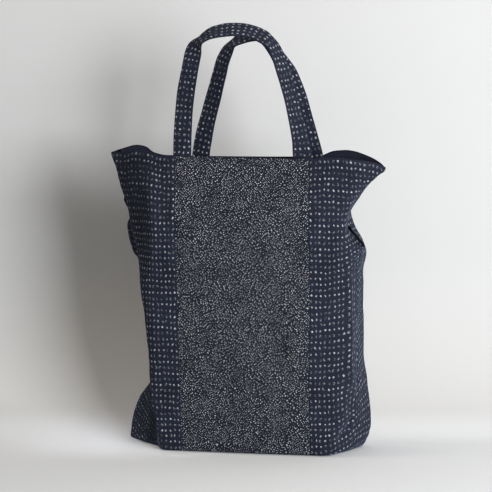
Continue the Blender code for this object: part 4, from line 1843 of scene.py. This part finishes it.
    def build(self, cloth: bpy.types.Material) -> bpy.types.Object:
        """Makes the strap.

        Args:
            cloth: Its material.

        Returns:
            The piece.
        """
        self.frame()
        at, high = self.profile().T
        top, top_high = np.concatenate([-at[:0:-1], at]), np.concatenate([high[:0:-1], high])
        xs = np.concatenate([top, [1.0], top[::-1], [-1.0], top[:1]])
        ys = np.concatenate([-top_high, [0.0], top_high[::-1], [0.0], -top_high[:1]])
        run = run_along(self.line[:, None], 0)[:, 0]
        sway = 1 + self.sway * ripples(run, 0 * run, self.sway_length, SWAY_SEED + self.side)
        half = xs * self.width / 2
        down, over = np.broadcast_arrays(run[:, None], half)
        dent = self.dent * ripples(down, over, self.dent_length, DENT_SEED + self.side)
        points = (self.line[:, None] + self.across[:, None] * half[None, :, None] * sway[:, None, None]
                  + self.face[:, None] * (ys[None, :] + dent)[..., None])
        other_face = np.where(np.arange(len(xs)) > len(top), self.other_face, 0.0)
        weave = Weave.tube(points, np.stack([over + other_face, down], axis=-1))
        return dress(weave.piece(self.name + "_strap", cloth), self.name)

    def stitch_lines(self) -> Lines:
        """The lines of stitches along both edges of both faces, with the way out of the cloth.

        Returns:
            Each line's points, with the way out of the cloth at each.
        """
        lines = []
        lift = self.thickness / 2 - self.stitch_groove
        for side in (-1, 1):
            for face in (-1, 1):
                place = (self.line + self.across * side * (self.width / 2 - self.stitch_inset)
                         + self.face * face * lift)
                lines.append((place[2:-2], self.face[2:-2] * face))
        return lines


@dataclass
class SideTab:
    """The small folded tape caught in the right seam, left bare."""

    wall: Wall
    length: float = 0.026
    reach: float = 0.009
    thickness: float = 0.001
    top_share: float = 0.772
    swing: float = math.radians(-55)
    bend: float = 0.0009
    gap: float = 0.0003
    steps: int = 16

    def build(self, cloth: bpy.types.Material) -> bpy.types.Object:
        """Makes the tab as a loop of tape with a soft outer fold.

        Args:
            cloth: Its material.

        Returns:
            The piece.
        """
        shape = self.wall.shape
        share = self.top_share - np.linspace(0, self.length, self.steps + 1) / shape.height
        line = shape.levels(share[::-1])[::-1, shape.quarter]
        reach = np.array([math.cos(self.swing), math.sin(self.swing), 0.0])
        line = line + reach * (self.thickness / 2 + 2 * self.gap)
        flat = unit(np.cross(np.gradient(line, axis=0), reach))
        out = np.array([0.0, 0.35, 0.65, 0.85, 0.95, 0.99, 1.0])
        half = self.thickness / 2 * np.array([0.85, 1.0, 1.05, 1.0, 0.8, 0.45, 0.0])
        outs = np.concatenate([out, out[-2::-1], out[:1]])
        halves = np.concatenate([-half, half[-2::-1], -half[:1]])
        bend = self.bend * np.sin(np.linspace(0, math.pi, len(line)))[:, None] * outs[None]**2
        points = (line[:, None] + reach * (outs * self.reach)[None, :, None]
                  + flat[:, None] * (halves[None] + bend)[..., None])
        down = np.linspace(0, self.length, len(line))[:, None]
        uv = np.stack(np.broadcast_arrays((outs * self.reach)[None], down), axis=-1)
        return dress(Weave.tube(points, uv).piece("side_tab_tape", cloth), "side_tab")


STITCH_INPUTS = {"Lines": "Geometry", "Spacing": "Float", "Length": "Float", "Radius": "Float",
                 "Seed": "Int", "Thread": "Material"}

# Each node's type, settings and inputs. An input is a value, or the name of an earlier node
# and of its output, where that isn't the first.
STITCH_NODES: dict[str, tuple[str, dict, dict]] = {
    "given": ("NodeGroupInput", {}, {}),
    "curve": ("GeometryNodeMeshToCurve", {}, {"Mesh": "given.Lines"}),
    "steps": ("GeometryNodeResampleCurve", {"mode": "LENGTH"},
              {"Curve": "curve", "Length": "given.Spacing"}),
    "half": ("ShaderNodeMath", {"operation": "MULTIPLY"}, {0: "given.Length", 1: 0.5}),
    "size": ("ShaderNodeCombineXYZ", {}, {"X": "half", "Y": "given.Radius", "Z": "given.Radius"}),
    "ball": ("GeometryNodeMeshUVSphere", {}, {"Segments": 6, "Rings": 4, "Radius": 1.0}),
    "smoothed": ("GeometryNodeSetShadeSmooth", {}, {"Geometry": "ball"}),
    "shaped": ("GeometryNodeTransform", {}, {"Geometry": "smoothed", "Scale": "size"}),
    "tangent": ("GeometryNodeInputTangent", {}, {}),
    "along": ("FunctionNodeAlignRotationToVector", {"axis": "X"}, {"Vector": "tangent"}),
    "outward": ("GeometryNodeInputNamedAttribute", {"data_type": "FLOAT_VECTOR"}, {"Name": UP_NAME}),
    "upright": ("FunctionNodeAlignRotationToVector", {"axis": "Z", "pivot_axis": "X"},
                {"Rotation": "along", "Vector": "outward"}),
    "sway": ("FunctionNodeRandomValue", {"data_type": "FLOAT_VECTOR"},
             {"Min": (0.0, 0.0, -0.09), "Max": (0.0, 0.0, 0.09), "Seed": "given.Seed"}),
    "turned": ("FunctionNodeRotateRotation", {"rotation_space": "LOCAL"},
               {"Rotation": "upright", "Rotate By": "sway"}),
    "laid": ("GeometryNodeInstanceOnPoints", {},
             {"Points": "steps", "Instance": "shaped", "Rotation": "turned"}),
    "real": ("GeometryNodeRealizeInstances", {}, {"Geometry": "laid"}),
    "dyed": ("GeometryNodeSetMaterial", {}, {"Geometry": "real", "Material": "given.Thread"}),
    "result": ("NodeGroupOutput", {}, {"Stitches": "dyed"}),
}


@dataclass
class Stitching:
    """Rows of stitches, set along their lines by Geometry Nodes."""

    spacing: float = 0.0030
    length: float = 0.0023
    radius: float = 0.00022
    seed: int = 5

    def tree(self) -> bpy.types.NodeTree:
        """The node tree that lays one small stitch at each step of a line.

        Returns:
            The node tree, with its inputs as STITCH_INPUTS names them.
        """
        tree = bpy.data.node_groups.new("lay_stitches", "GeometryNodeTree")
        for name, kind in STITCH_INPUTS.items():
            tree.interface.new_socket(name, in_out="INPUT", socket_type="NodeSocket" + kind)
        tree.interface.new_socket("Stitches", in_out="OUTPUT", socket_type="NodeSocketGeometry")
        made: dict[str, bpy.types.Node] = {}
        for name, (kind, settings, inputs) in STITCH_NODES.items():
            node = tree.nodes.new(kind)
            for setting, value in settings.items():
                setattr(node, setting, value)
            for place, value in inputs.items():
                source, _, output = value.partition(".") if isinstance(value, str) else ("", "", "")
                if source in made:
                    tree.links.new(made[source].outputs[output or 0], node.inputs[place])
                else:
                    node.inputs[place].default_value = value
            made[name] = node
        return tree

    def lay(self, name: str, lines: Lines, thread: bpy.types.Material) -> bpy.types.Object:
        """Lays stitches along lines.

        Args:
            name: The piece's name.
            lines: Each line's points, with the way out of the cloth at each.
            thread: The thread's material.

        Returns:
            The piece.
        """
        points, ups, edges, start = [], [], [], 0
        for line, out in lines:
            points.append(line)
            ups.append(out)
            edges += [(start + k, start + k + 1) for k in range(len(line) - 1)]
            start += len(line)
        mesh = bpy.data.meshes.new(name)
        mesh.from_pydata(np.concatenate(points).tolist(), edges, [])
        up = mesh.attributes.new(UP_NAME, "FLOAT_VECTOR", "POINT")
        up.data.foreach_set("vector", np.concatenate(ups).astype(np.float32).ravel())
        guide = put(name + "_guide", mesh)
        tree = self.tree()
        values = {"Spacing": self.spacing, "Length": self.length, "Radius": self.radius,
                  "Seed": self.seed, "Thread": thread}
        modifier = guide.modifiers.new("stitches", "NODES")
        modifier.node_group = tree
        for item in tree.interface.items_tree:
            if item.in_out == "INPUT" and item.name in values:
                modifier[item.identifier] = values[item.name]
        bpy.context.view_layer.update()
        graph = bpy.context.evaluated_depsgraph_get()
        made_mesh = bpy.data.meshes.new_from_object(guide.evaluated_get(graph))
        made_mesh.name = name
        guide.modifiers.clear()
        bpy.data.objects.remove(guide)
        return dress(put(name, made_mesh), None)


@dataclass
class Sewing:
    """Where the bag is topstitched: round the rim, along the straps and over their sewn ends."""

    wall: Wall
    handles: list[Handle]
    below_rim: float = 0.0030
    rim_lift: float = 0.00002
    box_steps: int = 24
    box_from: float = 0.003
    box_to: float = 0.005

    def rim_line(self) -> Lines:
        """The line of stitches round the outside of the rim.

        Returns:
            Its points, with the way out of the cloth at each.
        """
        wall = self.wall
        columns = np.append(np.arange(wall.shape.columns), 0)
        rows = np.argmin(np.abs(wall.down - self.below_rim), axis=0)[columns]
        out = wall.out[rows, columns]
        return [(wall.grid[rows, columns] + out * self.rim_lift, out)]

    def end_lines(self) -> Lines:
        """The crossed boxes that hold the straps' ends.

        Returns:
            Each line's points, with the way out of the cloth at each.
        """
        lines = []
        for handle in self.handles:
            half = handle.width / 2 - handle.stitch_inset
            low, high = self.box_from, handle.sewn - self.box_to
            corners = np.array([(low, -half), (low, half), (high, half), (high, -half),
                                (low, -half), (high, half), (high, -half), (low, half)])
            t = np.linspace(0, 1, self.box_steps, endpoint=False)[:, None]
            places = np.concatenate([a + (b - a) * t for a, b in zip(corners[:-1], corners[1:])])
            for ends in (slice(0, None, 1), slice(None, None, -1)):
                line, across, face = handle.line[ends], handle.across[ends], handle.face[ends]
                inward = -handle.side if float(face[0, 1]) > 0 else handle.side
                run = run_along(line[:, None], 0)[:, 0]
                at = np.interp(places[:, 0], run, np.arange(len(run)))
                k, part = at.astype(int), (at % 1)[:, None]
                base = line[k] * (1 - part) + line[k + 1] * part
                out = face[k] * inward
                lines.append((base + across[k] * places[:, 1:] + out * handle.thickness / 2, out))
        return lines

    def build(self, thread: bpy.types.Material) -> None:
        """Lays every row of stitches.

        Args:
            thread: The thread's material.
        """
        stitching = Stitching()
        stitching.lay("rim_stitches", self.rim_line(), thread)
        for handle in self.handles:
            stitching.lay(handle.name + "_stitches", handle.stitch_lines(), thread)
        stitching.lay("strap_end_stitches", self.end_lines(), thread)


@dataclass(frozen=True)
class SoftLight:
    """One soft rectangular light: its name, where it hangs, what it faces and how it shines."""

    name: str
    place: Point
    at: Point
    size: Pair
    power: float
    colour: Colour
    beam: float = 180.0

    def hang(self) -> None:
        """Hangs the light, out of the camera's sight."""
        data = bpy.data.lights.new(self.name, "AREA")
        data.shape = "RECTANGLE"
        data.size, data.size_y = self.size
        data.energy = self.power
        data.color = self.colour
        data.spread = math.radians(self.beam)
        light = put(self.name, data)
        light.location = self.place
        light.rotation_euler = (Vector(self.at) - Vector(self.place)).to_track_quat("-Z", "Y").to_euler()
        light.visible_camera = False


KEY_LIGHT = SoftLight("key", (1.42, -1.55, 0.64), (0.0, 0.0, 0.25), (1.05, 0.90), 64.5, (0.97, 0.99, 1.0))
TOP_LIGHT = SoftLight("top", (0.0, -0.2, 2.0), (0.0, -0.2, 0.0), (1.8, 0.4), 15.0, (1.0, 0.91, 0.80))
SIDE_LIGHT = SoftLight("side", (-0.80, -0.20, 0.68), (-0.185, 0.0, 0.012), (0.10, 0.10), 0.028,
                       (0.95, 0.97, 1.0), 14.0)


@dataclass
class Studio:
    """The pale sweep that the bag stands on, the soft light and the camera."""

    sensor: float = 36.0
    farthest: float = 50.0
    distance: float = 2.70
    azimuth: float = math.radians(10.5)
    eye_height: float = 0.525
    pitch: float = math.radians(5.4)
    lens: float = 150.73
    back: float = 0.264
    bend: float = 0.230
    bend_steps: int = 24
    reach: float = 6.0
    floor_drop: float = 0.002
    air_colour: Colour = (1.0, 0.91, 0.79)
    air_strength: float = 0.015

    def camera(self, shape: BodyShape) -> None:
        """Sets the camera at the photograph's viewing angle.

        Args:
            shape: The bag's shape, for its middle.
        """
        data = bpy.data.cameras.new("camera")
        data.lens = self.lens
        data.sensor_width = self.sensor
        data.clip_end = self.farthest
        camera = put("camera", data)
        camera.location = (self.distance * math.sin(self.azimuth) - shape.middle_x,
                           -self.distance * math.cos(self.azimuth) - shape.middle_y, self.eye_height)
        camera.rotation_euler = (math.pi / 2 - self.pitch, 0.0, self.azimuth)
        bpy.context.scene.camera = camera

    def sheet_of_paper(self, name: str, points: list, faces: list, paper: bpy.types.Material) -> None:
        """Adds one part of the studio.

        Args:
            name: Its name.
            points: Its corners.
            faces: Its faces, turned to the side that is seen.
            paper: Its material.
        """
        mesh = bpy.data.meshes.new(name)
        mesh.from_pydata(points, [], faces)
        mesh.materials.append(paper)
        mesh.shade_smooth()
        put(name, mesh)

    def sweep(self, paper: bpy.types.Material) -> None:
        """Makes the floor that bends up into the backdrop, and the floor behind it.

        Args:
            paper: Its material.
        """
        far, start = self.reach, self.back - self.bend
        angles = [math.pi / 2 * k / self.bend_steps for k in range(self.bend_steps + 1)]
        side = [(start + self.bend * math.sin(a), self.bend * (1 - math.cos(a))) for a in angles]
        side = [(-far, 0.0), *side, (self.back, far)]
        turn = Matrix.Rotation(self.azimuth, 3, "Z")
        points = [turn @ Vector((x, y, z)) for y, z in side for x in (-far, far)]
        faces = [(2 * k, 2 * k + 1, 2 * k + 3, 2 * k + 2) for k in range(len(side) - 1)]
        self.sheet_of_paper("studio_sweep", points, faces, paper)
        ends = ((-far, -far), (far, -far), (far, far), (-far, far))
        corners = [(x, y, -self.floor_drop) for x, y in ends]
        self.sheet_of_paper("studio_floor", corners, [(0, 1, 2, 3)], paper)

    def build(self, shape: BodyShape) -> None:
        """Makes the whole studio.

        Args:
            shape: The bag's shape.
        """
        self.camera(shape)
        self.sweep(StudioPaper().make())
        for light in (KEY_LIGHT, TOP_LIGHT, SIDE_LIGHT):
            light.hang()
        world = bpy.data.worlds.new("studio_air")
        world.use_nodes = True
        air = world.node_tree.nodes["Background"].inputs
        air["Color"].default_value = (*self.air_colour, 1.0)
        air["Strength"].default_value = self.air_strength
        bpy.context.scene.world = world
        bpy.context.scene.view_settings.view_transform = "Standard"


def main() -> None:
    """Builds the bag and its studio."""
    logging.basicConfig(level=logging.INFO, format="%(name)s: %(message)s")
    shape = BodyShape()
    Studio().build(shape)
    navy = PlainCloth("facing_cloth", (0.0085, 0.0100, 0.0190), (0.0150, 0.0175, 0.0320))
    tape = PlainCloth("tab_cloth", (0.0070, 0.0070, 0.0080), (0.0130, 0.0130, 0.0150), 0.0004, 0.05)
    cloths = {"dotted_cloth": DottedCloth().make(), "speckle_cloth": SpeckleCloth().make(),
              "facing_cloth": navy.make(), "tab_cloth": tape.make()}
    wall = Wall(shape)
    wall.build(cloths)
    Facing(wall).build(cloths["facing_cloth"])
    Base(shape).build(cloths["dotted_cloth"])
    handles = [Handle(wall, "front_handle", FRONT_HANDLE, -1), Handle(wall, "back_handle", BACK_HANDLE, 1)]
    for handle in handles:
        handle.build(cloths["dotted_cloth"])
    SideTab(wall).build(cloths["tab_cloth"])
    Sewing(wall, handles).build(Thread().make())


if __name__ == "__main__":
    main()
